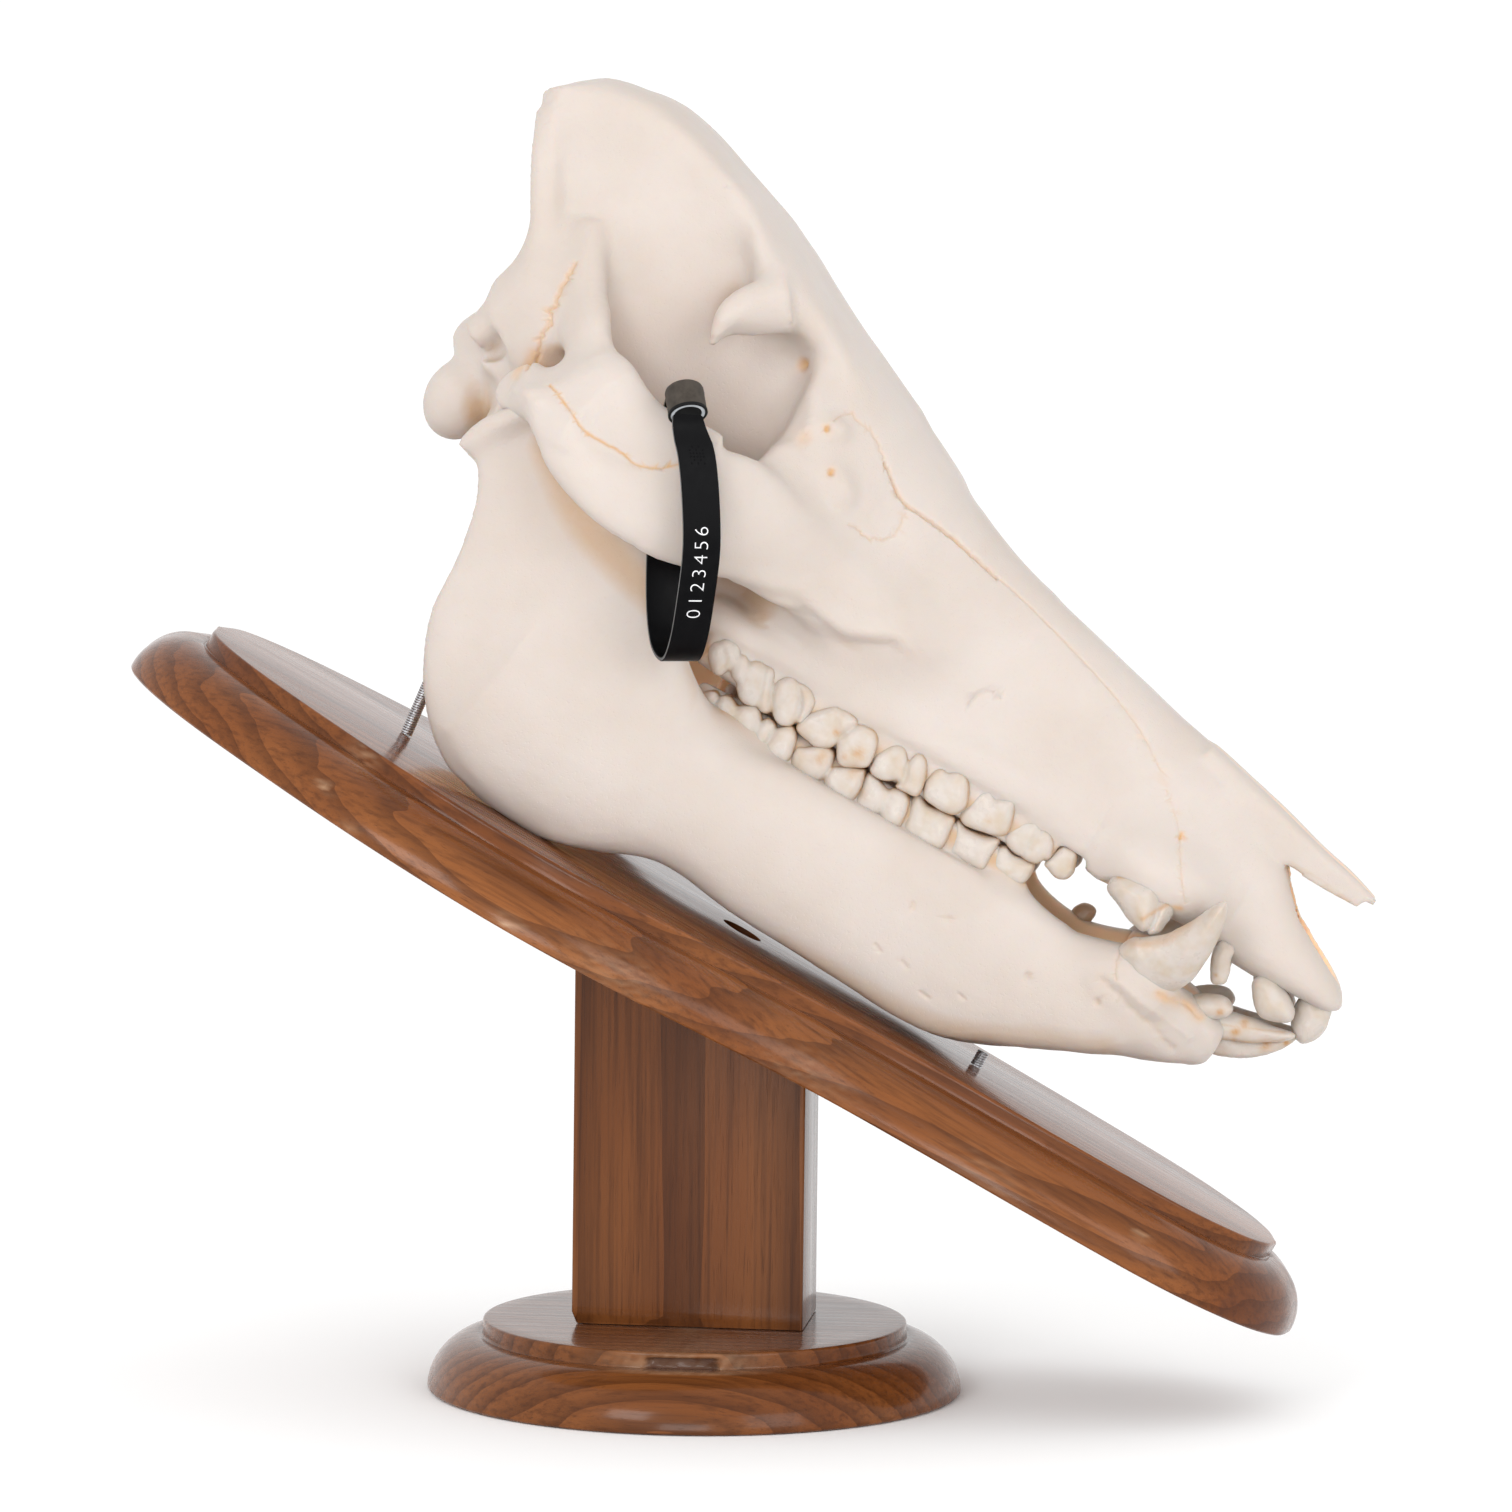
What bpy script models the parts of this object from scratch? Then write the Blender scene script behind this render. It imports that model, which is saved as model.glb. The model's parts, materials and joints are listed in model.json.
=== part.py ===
"""Pig skull standing on a sloping walnut board, post and round foot.

Metres, +Z up, +X towards the snout. The origin is the centre of the foot's underside.
The skull and what fastens it are modelled in the board's own frame: the origin at the middle of
the board's top face, X down the slope, Z square to the board. Lengths below are in millimetres.
"""
import math

import bmesh
import bpy
import numpy as np
from mathutils import Matrix, Vector

MM = 0.001
GAP = 0.3

# Round foot
BASE_RADIUS = 80.0
MOULDING_RADIUS = 16.5
MOULDING_STEP = 4.5
BASE_HEIGHT = 20.7

# Post
POST_LENGTH = 69.0
POST_DEPTH = 39.0

# Board
BOARD_SLOPE = math.radians(29.0)
BOARD_CENTRE = Vector((12.9, 0.0, 137.5))
BOARD_THICKNESS = 21.5
BOARD_HOLE_RADIUS = 6.4
BOARD_HOLE_DEPTH = 12.0
# Half outline of the board's flat top: distance down the slope, half width
BOARD_OUTLINE = [(-183.0, 0.0), (-178.0, 22.0), (-160.0, 41.0), (-128.0, 58.0), (-95.0, 70.5),
                 (-60.0, 76.5), (-28.0, 72.5), (5.0, 60.0), (40.0, 48.0), (75.0, 43.5),
                 (115.0, 41.5), (150.0, 37.5), (170.0, 27.5), (180.0, 15.0), (183.5, 0.0)]
OUTLINE_STEPS = 3

# Steel fasteners
ROD_RADIUS = 1.9
REAR_ROD_FOOT = -117.0
REAR_ROD_LEAN = math.radians(-6.0)
REAR_ROD_TOP = 88.0
FRONT_STUD_FOOT = 80.4
FRONT_STUD_TOP = 5.0

# Bone meshes
VOXEL = 2.0
RING_POINTS = 28
SLIVER = 0.05
HOLE_SIDES = 8
CRANIUM_TRIANGLES = 2900
MANDIBLE_TRIANGLES = 1350

# Heights above the board: rims of the upper and lower sockets, and where the teeth meet
UPPER_GUM = 73.5
LOWER_GUM = 54.5
BITE = 66.0

# Cheek teeth from back to front: name, rear end, front end, middle's y, width
UPPER_CHEEK_TEETH = [("molar_3", -48.5, -9.5, 27.5, 18.0), ("molar_2", -9.5, 11.5, 27.5, 17.5),
                     ("molar_1", 11.5, 28.0, 26.5, 15.5), ("premolar_4", 28.0, 42.0, 25.5, 14.0),
                     ("premolar_3", 42.0, 56.0, 23.5, 11.0), ("premolar_2", 56.0, 69.5, 22.0, 8.0),
                     ("premolar_1", 70.5, 78.5, 21.5, 5.5)]
LOWER_CHEEK_TEETH = [("molar_3", -42.5, -6.5, 28.5, 15.0), ("molar_2", -6.5, 13.0, 27.5, 14.0),
                     ("molar_1", 13.0, 28.0, 26.5, 12.0), ("premolar_4", 28.0, 42.0, 25.0, 10.0),
                     ("premolar_3", 42.0, 55.0, 23.0, 8.0), ("premolar_2", 55.0, 66.0, 21.5, 6.5)]
# The lower first premolar stands alone, on the left side only
FIRST_PREMOLAR = ("lower_premolar_1_left", 82.0, 88.0, 21.5, 4.5)
FIRST_PREMOLAR_GUM = 50.6
FIRST_PREMOLAR_TIP = 56.8

# Front teeth: name, then stations x, y, z, half size seen from the side, half size across
UPPER_FRONT_TEETH = [
    ("canine", [(94, 26, 76, 9, 6), (97, 28.5, 70, 8.5, 6), (101.5, 30, 65.5, 5.5, 4.5),
                (104.5, 30.5, 62.5, 2, 2)]),
    ("incisor_3", [(125, 17.5, 73, 2.6, 2.4), (126.5, 18, 67, 3.0, 2.6), (129, 18, 60, 2.2, 2)]),
    ("incisor_2", [(142, 12.5, 71, 5, 3.4), (145, 12.5, 64.5, 6.4, 4), (148.5, 12, 58.5, 3.6, 3)]),
    ("incisor_1", [(155.5, 6, 69, 4.5, 4), (157.5, 5.8, 65, 5.2, 4.6), (160, 5.4, 57.5, 2.8, 3.6)])]
LOWER_FRONT_TEETH = [
    ("canine", [(100, 24, 49.5, 7.5, 6.5), (107.5, 26.5, 51.6, 7.3, 6.5), (114.5, 29.5, 56.5, 6.5, 5.8),
                (118, 32.5, 64.5, 5.2, 4.8), (118.3, 34.5, 72, 3.4, 3.2), (116.7, 36, 81, 0.7, 0.7)]),
    ("incisor_3", [(120, 12.5, 44, 3, 2.6), (128, 13, 48.5, 3.3, 2.8), (136.5, 14, 53, 2.4, 2.2)]),
    ("incisor_2", [(122, 8.5, 39.5, 3.2, 2.4), (138, 8.5, 47.5, 3.4, 2.6), (154, 8, 55.5, 1.4, 2.2)]),
    ("incisor_1", [(126, 3, 38, 3.2, 2.3), (141, 3.1, 44.5, 3.8, 2.4), (155.5, 3.4, 53.5, 1.8, 2.4)])]
FRONT_TOOTH_POINTS = 7
CUSP_SHARE = 0.22
SOCKET_GAP = 0.45

# Band with a cap: middle line of the strap in the foot's frame
BAND_WIDTH = 11.0
BAND_THICKNESS = 1.2
BAND_TURN = math.radians(26)
BAND_PATH = [(6.8, -87.0, 286.0), (9.0, -88.0, 278.0), (10.3, -88.3, 266.0), (10.6, -87.8, 252.0),
             (8.8, -85.5, 238.0), (6.2, -80.0, 226.5), (3.0, -73.0, 220.8), (-1.0, -65.5, 224.0),
             (-3.0, -62.0, 234.0), (-3.3, -61.0, 250.0), (-2.0, -61.5, 270.0), (0.0, -63.5, 284.0),
             (2.5, -68.5, 293.5), (4.6, -75.0, 296.0), (5.6, -79.6, 295.0)]
CAP_CENTRE = (5.9, -87.2, 292.8)
CAP_RADIUS = 6.6
CAP_HALF_HEIGHT = 6.2


def material(name, colour, roughness, metallic=0.0):
    """Principled material with one colour, roughness and metallic value."""
    made = bpy.data.materials.new(name)
    made.use_nodes = True
    shader = made.node_tree.nodes["Principled BSDF"]
    shader.inputs["Base Color"].default_value = (*colour, 1.0)
    shader.inputs["Roughness"].default_value = roughness
    shader.inputs["Metallic"].default_value = metallic
    made.diffuse_color = (*colour, 1.0)
    return made


def spline(points, steps):
    """Points on a smooth curve through the given points, with steps spans between each two."""
    pts = np.array(points, float)
    ends = np.vstack([2 * pts[0] - pts[1], pts, 2 * pts[-1] - pts[-2]])
    made = []
    for i in range(1, len(ends) - 2):
        before, start, end, after = ends[i - 1:i + 3]
        for k in range(steps):
            t = k / steps
            made.append(0.5 * (2 * start + (end - before) * t
                               + (2 * before - 5 * start + 4 * end - after) * t ** 2
                               + (3 * start - before - 3 * end + after) * t ** 3))
    made.append(pts[-1])
    return np.array(made)


def squircle(power):
    """Points round a superellipse of half size 1: power 2 is round, 4 nearly square."""
    turn = np.arange(RING_POINTS) * 2 * np.pi / RING_POINTS
    across, up = np.cos(turn), np.sin(turn)
    return (np.sign(across) * np.abs(across) ** (2 / power), np.sign(up) * np.abs(up) ** (2 / power))


def skin(name, rings):
    """Closed mesh object over a row of rings, with a flat face at each end."""
    bm = bmesh.new()
    loops = [[bm.verts.new(Vector(p) * MM) for p in ring] for ring in rings]
    for low, high in zip(loops, loops[1:]):
        for i in range(len(low)):
            j = (i + 1) % len(low)
            bm.faces.new((low[i], low[j], high[j], high[i]))
    bm.faces.new(loops[0][::-1])
    bm.faces.new(loops[-1])
    bmesh.ops.recalc_face_normals(bm, faces=bm.faces)
    mesh = bpy.data.meshes.new(name)
    bm.to_mesh(mesh)
    bm.free()
    return bpy.data.objects.new(name, mesh)


def body(name, stations, steps=4):
    """Form that straddles the midline, from stations along X.

    A station is x, lowest z, highest z, half width low down, half width high up, power.
    """
    rings = []
    for x, low, high, wide_low, wide_high, power in spline(stations, steps):
        across, up = squircle(power)
        z = low + (high - low) * (up + 1) / 2
        y = across * (wide_low + (wide_high - wide_low) * (up + 1) / 2)
        rings.append(np.stack([np.full(RING_POINTS, x), y, z], axis=1))
    return skin(name, rings)


def limb(name, stations, side, steps=4, power=2.4):
    """Bar or plate on one side, from stations along its path.

    A station is x, y, z of its middle, half height and half thickness. Side is -1 or 1 and
    y is given for side 1. The thickness is square to the path as seen from above.
    """
    path = spline(stations, steps)
    centres = path[:, :3] * [1, side, 1]
    across, up = squircle(power)
    rings = []
    for i, centre in enumerate(centres):
        along = centres[min(i + 1, len(centres) - 1)] - centres[max(i - 1, 0)]
        along /= np.linalg.norm(along)
        thick = np.cross(along, (0, 0, 1))
        thick /= np.linalg.norm(thick)
        tall = np.cross(thick, along)
        rings.append([centre + tall * a * path[i, 3] + thick * b * path[i, 4] for a, b in zip(up, across)])
    return skin(name, rings)


def plate(name, stations, side, steps=4, power=2.4):
    """Upright plate on one side, from level stations.

    A station is z, rearmost x, foremost x, y of its middle and half thickness.
    """
    across, along = squircle(power)
    rings = []
    for z, rear, fore, y, thick in spline(stations, steps):
        x = (rear + fore) / 2 + along * (fore - rear) / 2
        rings.append(np.stack([x, side * y + across * thick, np.full(RING_POINTS, z)], axis=1))
    return skin(name, rings)


def column(name, stations, steps=4):
    """Upright form that straddles the midline: z, rearmost x, foremost x, half width, power."""
    rings = []
    for z, rear, fore, wide, power in spline(stations, steps):
        along, across = squircle(power)
        x = (rear + fore) / 2 + along * (fore - rear) / 2
        rings.append(np.stack([x, across * wide, np.full(RING_POINTS, z)], axis=1))
    return skin(name, rings)


def horn(name, stations, side, extra=0.0, steps=1):
    """Tapered tooth along a curved path.

    A station is x, y, z, half size seen from the side and half size across. extra is added
    all round, for the socket that the tooth stands in.
    """
    path = spline(stations, steps)
    centres = path[:, :3] * [1, side, 1]
    turn = (np.arange(FRONT_TOOTH_POINTS) + 0.5) * 2 * np.pi / FRONT_TOOTH_POINTS
    rings = []
    for i, centre in enumerate(centres):
        along = centres[min(i + 1, len(centres) - 1)] - centres[max(i - 1, 0)]
        along /= np.linalg.norm(along)
        flank = np.cross(along, (0, 1, 0))
        flank /= np.linalg.norm(flank)
        across = np.cross(flank, along)
        if extra and i == 0:
            centre = centre - along * extra
        rings.append([centre + flank * math.cos(a) * (path[i, 3] + extra)
                      + across * math.sin(a) * (path[i, 4] + extra) for a in turn])
    return skin(name, rings)


def crown(name, rear, fore, y, width, gum, tip, points, lobes, side):
    """Cheek tooth: a lobed block from the gum to the bite, its top edge in low cusps."""
    turn = (np.arange(points) + 0.5) * 2 * np.pi / points
    lengthwise = np.sign(np.cos(turn)) * np.abs(np.cos(turn)) ** 0.6
    across = np.sign(np.sin(turn)) * np.abs(np.sin(turn)) ** 0.6
    wave = 0.5 - 0.5 * np.cos(np.pi * (lengthwise + 1) * lobes)
    waist = 0.86 + 0.14 * wave
    half_length = (fore - rear) / 2 - GAP / 2
    middle = (rear + fore) / 2
    rings = []
    for level, size in ((0.0, 0.92), (0.5, 1.0), (1.0, 0.86)):
        low = gum + (tip - gum) * level
        z = low + (gum - tip) * CUSP_SHARE * (1 - wave) * (level == 1.0)
        x = middle + lengthwise * half_length * (0.5 + size / 2)
        rings.append(np.stack([x, side * y + across * width / 2 * size * waist, z + 0 * x], axis=1))
    return skin(name, rings)


def lump(name, centre, size, side=1, lean=0.0):
    """Ellipsoid with half sizes along X, Y and Z, leant forward about Y."""
    bm = bmesh.new()
    bmesh.ops.create_uvsphere(bm, u_segments=20, v_segments=12, radius=MM)
    middle = Vector((centre[0], side * centre[1], centre[2])) * MM
    place = Matrix.Translation(middle) @ Matrix.Rotation(lean, 4, "Y") @ Matrix.Diagonal((*size, 1))
    bmesh.ops.transform(bm, matrix=place, verts=bm.verts)
    mesh = bpy.data.meshes.new(name)
    bm.to_mesh(mesh)
    bm.free()
    return bpy.data.objects.new(name, mesh)


def evaluated(obj, name):
    """New object with the mesh that obj's modifiers give."""
    bpy.context.collection.objects.link(obj)
    bpy.context.view_layer.update()
    mesh = bpy.data.meshes.new_from_object(obj.evaluated_get(bpy.context.evaluated_depsgraph_get()))
    bpy.data.objects.remove(obj)
    return bpy.data.objects.new(name, mesh)


def joined(name, objects):
    """One object that holds the meshes of all the objects."""
    bm = bmesh.new()
    for obj in objects:
        bm.from_mesh(obj.data)
        bpy.data.objects.remove(obj)
    mesh = bpy.data.meshes.new(name)
    bm.to_mesh(mesh)
    bm.free()
    return bpy.data.objects.new(name, mesh)


def cut(obj, cutters):
    """obj less the cutters, one Boolean after the other."""
    for cutter in cutters:
        keep_cutter(cutter)
        modifier = obj.modifiers.new("cut", "BOOLEAN")
        modifier.operation = "DIFFERENCE"
        modifier.object = cutter
    return cleaned(evaluated(obj, obj.name))


def cleaned(obj):
    """obj's largest piece as triangles, without the slivers and chips that a cut leaves."""
    bm = bmesh.new()
    bm.from_mesh(obj.data)
    bmesh.ops.triangulate(bm, faces=bm.faces)
    bmesh.ops.remove_doubles(bm, verts=bm.verts, dist=SLIVER * MM)
    bmesh.ops.dissolve_degenerate(bm, edges=bm.edges, dist=SLIVER * MM)
    left = set(bm.verts)
    pieces = []
    while left:
        piece = set()
        front = {left.pop()}
        while front:
            piece |= front
            front = {edge.other_vert(vert) for vert in front for edge in vert.link_edges} - piece
        left -= piece
        pieces.append(piece)
    pieces.sort(key=len)
    bmesh.ops.delete(bm, geom=[vert for piece in pieces[:-1] for vert in piece], context="VERTS")
    rims = [edge for edge in bm.edges if edge.is_boundary]
    bmesh.ops.holes_fill(bm, edges=rims, sides=HOLE_SIDES)
    bmesh.ops.triangulate(bm, faces=bm.faces)
    bmesh.ops.recalc_face_normals(bm, faces=bm.faces)
    bm.to_mesh(obj.data)
    bm.free()
    return obj


def keep_cutter(cutter):
    """Put a cutter in its own collection, where it isn't rendered."""
    cutter_collection.objects.link(cutter)
    cutter.hide_render = True
    cutter.display_type = "WIRE"


def grown(name, forms, hollows, triangles):
    """One bone: the forms grown together, less the hollows, smoothed and brought to few triangles."""
    bone = joined(name, forms)
    remesh = bone.modifiers.new("grow together", "REMESH")
    remesh.mode = "VOXEL"
    remesh.voxel_size = VOXEL * MM
    bone = cut(evaluated(bone, name), hollows)
    remesh = bone.modifiers.new("even out", "REMESH")
    remesh.mode = "VOXEL"
    remesh.voxel_size = VOXEL * MM
    smooth = bone.modifiers.new("smooth", "SMOOTH")
    smooth.factor = 0.5
    smooth.iterations = 4
    bone = evaluated(bone, name)
    fewer = bone.modifiers.new("fewer faces", "DECIMATE")
    fewer.ratio = triangles / (2 * len(bone.data.polygons))
    fewer.use_collapse_triangulate = True
    return evaluated(bone, name)


def finish(obj, look, parent=None, smooth_angle=None):
    """Put a part in the object's collection with its material."""
    obj.data.materials.clear()
    obj.data.materials.append(look)
    part_collection.objects.link(obj)
    obj.parent = parent
    if smooth_angle:
        obj.data.shade_smooth()
        obj.data.set_sharp_from_angle(angle=math.radians(smooth_angle))
    return obj


def box(name, low, high):
    """Box between two corners."""
    bm = bmesh.new()
    bmesh.ops.create_cube(bm, size=1.0)
    for vert in bm.verts:
        vert.co = [(a + b) / 2 * MM + c * (b - a) * MM for a, b, c in zip(low, high, vert.co)]
    mesh = bpy.data.meshes.new(name)
    bm.to_mesh(mesh)
    bm.free()
    return bpy.data.objects.new(name, mesh)


def cylinder(name, radius, low, high, segments=16):
    """Upright cylinder from z low to z high."""
    bm = bmesh.new()
    bmesh.ops.create_cone(bm, cap_ends=True, segments=segments, radius1=radius * MM,
                          radius2=radius * MM, depth=(high - low) * MM)
    bmesh.ops.translate(bm, vec=(0, 0, (low + high) / 2 * MM), verts=bm.verts)
    mesh = bpy.data.meshes.new(name)
    bm.to_mesh(mesh)
    bm.free()
    return bpy.data.objects.new(name, mesh)


def make_base(look):
    """Turned foot: flat top disc, small step and quarter round."""
    rim = BASE_HEIGHT - MOULDING_STEP
    inner = BASE_RADIUS - MOULDING_RADIUS
    arc = [(inner + MOULDING_RADIUS * math.sin(a), rim - MOULDING_RADIUS * (1 - math.cos(a)))
           for a in np.radians(np.linspace(0, 88, 6))]
    profile = [(0, BASE_HEIGHT), (inner, BASE_HEIGHT)] + arc + [(BASE_RADIUS, 0), (0, 0)]
    mesh = bpy.data.meshes.new("base")
    verts = [(x * MM, 0, z * MM) for x, z in profile]
    mesh.from_pydata(verts, [(i, i + 1) for i in range(len(verts) - 1)], [])
    base = bpy.data.objects.new("base", mesh)
    screw = base.modifiers.new("turn", "SCREW")
    screw.steps = screw.render_steps = 32
    screw.use_merge_vertices = True
    screw.merge_threshold = 0.00005
    finish(evaluated(base, "base"), look, smooth_angle=35)


def make_post(look):
    """Rectangular block between foot and board, its top cut to the slope."""
    post = box("post", (-POST_LENGTH / 2, -POST_DEPTH / 2, BASE_HEIGHT + GAP),
               (POST_LENGTH / 2, POST_DEPTH / 2, BOARD_CENTRE.z))
    drop = -(BOARD_THICKNESS + GAP)
    for vert in post.data.vertices:
        if vert.co.z > BOARD_CENTRE.z * MM / 2:
            across = vert.co.x / MM - BOARD_CENTRE.x
            height = (drop - across * math.sin(BOARD_SLOPE)) / math.cos(BOARD_SLOPE)
            vert.co.z = (BOARD_CENTRE.z + height) * MM
    finish(post, look)


def make_plaque(look, board):
    """Moulded board: waisted oval, small step, quarter round, blind hole at the centre."""
    half = spline(BOARD_OUTLINE, OUTLINE_STEPS)[:-1]
    other = spline([(x, -y) for x, y in BOARD_OUTLINE[::-1]], OUTLINE_STEPS)[:-1]
    outline = np.vstack([half, other])
    along = np.roll(outline, -1, axis=0) - np.roll(outline, 1, axis=0)
    outward = np.stack([-along[:, 1], along[:, 0]], axis=1)
    outward /= np.linalg.norm(outward, axis=1)[:, None]
    rim = -MOULDING_STEP
    foot = -BOARD_THICKNESS
    steps = [(0.0, 0.0)]
    steps += [(MOULDING_RADIUS * math.sin(a), rim - MOULDING_RADIUS * (1 - math.cos(a)))
              for a in np.radians(np.linspace(0, 88, 5))]
    steps += [(MOULDING_RADIUS, foot)]
    rings = []
    for out, z in steps:
        flat = outline + outward * out
        rings.append(np.column_stack([flat, np.full(len(flat), z)]))
    plaque = skin("plaque", rings)
    hole = cylinder("board hole", BOARD_HOLE_RADIUS, -BOARD_HOLE_DEPTH, 5.0, segments=24)
    finish(cut(plaque, [hole]), look, board, smooth_angle=35)


def make_rod(name, foot, lean, top, look, board):
    """Steel rod that stands on the board."""
    rod = cylinder(name, ROD_RADIUS, GAP, top, segments=14)
    rod.location = Vector((foot, 0, 0)) * MM
    rod.rotation_euler.y = lean
    finish(rod, look, board, smooth_angle=35)


def cranium_forms():
    """The upper skull's grown forms."""
    forms = [
        body("braincase", [(-157, 120, 196, 30, 43, 3.2), (-149, 104, 200, 34, 43, 3.4),
                           (-138, 96, 199, 34, 38, 3.4), (-124, 92, 196, 33, 31, 3.0),
                           (-113, 93, 191, 31, 27, 2.6),
                           (-102, 95, 187, 28, 26, 2.4), (-86, 98, 180, 24, 32, 2.4),
                           (-68, 100, 173, 24, 36, 2.4), (-50, 98, 165, 30, 37, 2.4),
                           (-34, 90, 156, 35, 34, 2.6)]),
        body("roof", [(-170, 188, 196.5, 34, 39, 2.6), (-160, 184, 201, 37, 41, 2.6),
                      (-147, 186, 203, 32, 37, 2.6), (-130, 184, 200, 26, 31, 2.6),
                      (-113, 176, 195, 25, 31, 2.6), (-99, 167, 190, 30, 38, 2.6),
                      (-88, 162, 185.5, 40, 46, 2.6), (-79, 163, 181.5, 43, 48, 2.6),
                      (-67, 160, 175.5, 40, 44, 2.6), (-56, 154, 169.5, 36, 40, 2.6),
                      (-44, 140, 162, 34, 36, 2.6), (-28, 120, 153, 32, 31, 2.6),
                      (-12, 110, 143, 28, 25, 2.6)]),
        column("occiput", [(92, -148, -120, 14, 2.4), (102, -155, -116, 23, 2.4),
                           (112, -163.5, -114, 27, 2.4), (122, -161, -116, 30, 2.4),
                           (133, -155, -120, 32, 2.6), (146, -150, -126, 34, 2.6),
                           (160, -156, -130, 35, 2.6), (174, -163.5, -136, 37, 2.8),
                           (186, -168, -140, 39, 2.8), (195, -168.5, -146, 39, 2.8)]),
        body("muzzle", [(-52, 92, 162, 30, 36, 2.8), (-38, 78, 157, 36, 34, 3),
                        (-20, 71, 150, 37, 29, 3.2), (0, 70, 140.5, 35, 25, 3.4),
                        (20, 70, 134, 33, 22, 3.4), (45, 70, 128.5, 30, 20, 3.4),
                        (66, 70, 124, 27.5, 18.5, 3.2), (80, 67.5, 121, 27, 17.5, 3),
                        (92, 68, 118.5, 27.5, 16.5, 3), (106, 69, 115, 27, 15, 2.8),
                        (120, 66.5, 109, 25, 15, 2.6), (129, 65.5, 102, 23.5, 15.5, 2.6),
                        (136, 65.2, 94, 22.5, 16, 2.6), (144, 65.4, 87, 21, 16.5, 2.6),
                        (152, 66.3, 82, 19, 15.5, 2.6), (159, 66.6, 77.5, 15.5, 13, 2.6),
                        (165, 67.5, 72.5, 10, 8, 2.4)]),
        body("cheek", [(-58, 108, 162, 60, 43, 2.6), (-46, 99, 159, 58, 40, 2.6),
                       (-32, 95, 153, 52, 34, 2.6), (-16, 92, 146, 45, 28, 2.6),
                       (4, 90, 137, 38.5, 24, 2.6), (26, 84, 128, 33, 21, 2.6)]),
        body("skull base", [(-140, 92, 112, 14, 20, 2.4), (-122, 88, 110, 12, 20, 2.4),
                            (-100, 86, 106, 13, 22, 2.4), (-78, 86, 106, 14, 22, 2.4),
                            (-55, 80, 104, 17, 24, 2.6), (-40, 74, 100, 24, 28, 2.6)]),
    ]
    for side in (-1, 1):
        forms += [
            limb("crest wing", [(-162, 37, 195, 8, 5), (-159, 40, 186, 8, 4.5), (-153, 39.5, 172, 9, 4.5),
                                (-145, 37.5, 158, 10, 4.5), (-138, 36.5, 145, 11, 5),
                                (-135, 40, 133, 12, 7), (-133, 45, 120, 10, 8)], side),
            limb("ear root", [(-138, 32, 128, 18, 10), (-134, 44, 134, 20, 9), (-130, 54, 142, 20, 6),
                              (-127, 60, 146, 17, 4)], side),
            limb("zygomatic arch", [(-133, 58, 160, 5, 2.5), (-129, 60, 148, 13, 4),
                                    (-121, 64, 131, 19, 5), (-110, 69, 119, 20, 5.5),
                                    (-97, 73, 111, 19.5, 5.5), (-84, 75, 108, 19.5, 5.5),
                                    (-70, 73, 109.5, 20, 6), (-57, 67, 112, 18.5, 7.5),
                                    (-44, 58, 114, 18, 8), (-30, 50, 112, 15, 7),
                                    (-14, 43, 107.5, 10, 6), (4, 37, 104, 5, 4),
                                    (20, 33, 102, 2, 2)], side),
            limb("postorbital process", [(-78, 44, 171, 8, 7), (-84, 50, 165, 8, 5.5),
                                         (-87, 53.5, 157, 6, 4.5), (-88.5, 55, 149, 2.5, 2)], side),
            lump("occipital condyle", (-149.5, 17, 97), (10.5, 9.5, 12.5), side),
            limb("jugular process", [(-138, 30, 112, 8, 6), (-130, 31, 98, 8, 5), (-122, 32, 80, 6, 4),
                                     (-115, 33, 62, 4, 2.5), (-111, 34, 48, 2.5, 1.8)], side),
            lump("tympanic bulla", (-108, 25, 86), (9, 7, 16), side),
            limb("pterygoid plate", [(-66, 13, 92, 11, 3.5), (-56, 15, 82, 12, 4), (-46, 19, 78, 9, 6)],
                 side),
            lump("canine swelling", (98, 26, 79), (16, 7, 8), side),
            limb("nasal bone", [(96, 7, 114.5, 4, 7), (118, 7.5, 110, 3.5, 7), (134, 7, 106, 3.2, 6),
                                (148, 6, 103.3, 2.6, 4.5), (160, 5.5, 100.4, 1.6, 2)], side),
        ]
    return forms


def cranium_hollows():
    """What is cut out of the upper skull."""
    hollows = [
        body("nasal opening", [(64, 82, 116, 9, 9, 2.4), (95, 76, 111, 11, 10, 2.4),
                               (120, 75, 104.5, 12, 10, 2.4), (140, 75, 98, 12, 11, 2.4),
                               (152, 75, 96, 10, 11, 2.4), (190, 76, 96, 10, 13, 2.4)]),
        body("choanae", [(-75, 66, 92, 8, 9, 2.4), (-40, 74, 94, 10, 10, 2.4), (-15, 80, 92, 8, 7, 2.4)]),
        body("foramen magnum", [(-180, 100, 120, 13, 10, 2.2), (-148, 101, 119, 10, 9, 2.2),
                                (-130, 104, 124, 10, 10, 2.2), (-112, 112, 150, 16, 16, 2.2),
                                (-100, 122, 146, 12, 12, 2.2)]),
        lump("nuchal hollow", (-172, 0, 158), (18, 24, 30)),
    ]
    for side in (-1, 1):
        hollows += [lump("orbit", (-68.5, 66, 148), (21.0, 48.0, 19.0), side)]
    return hollows


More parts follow.
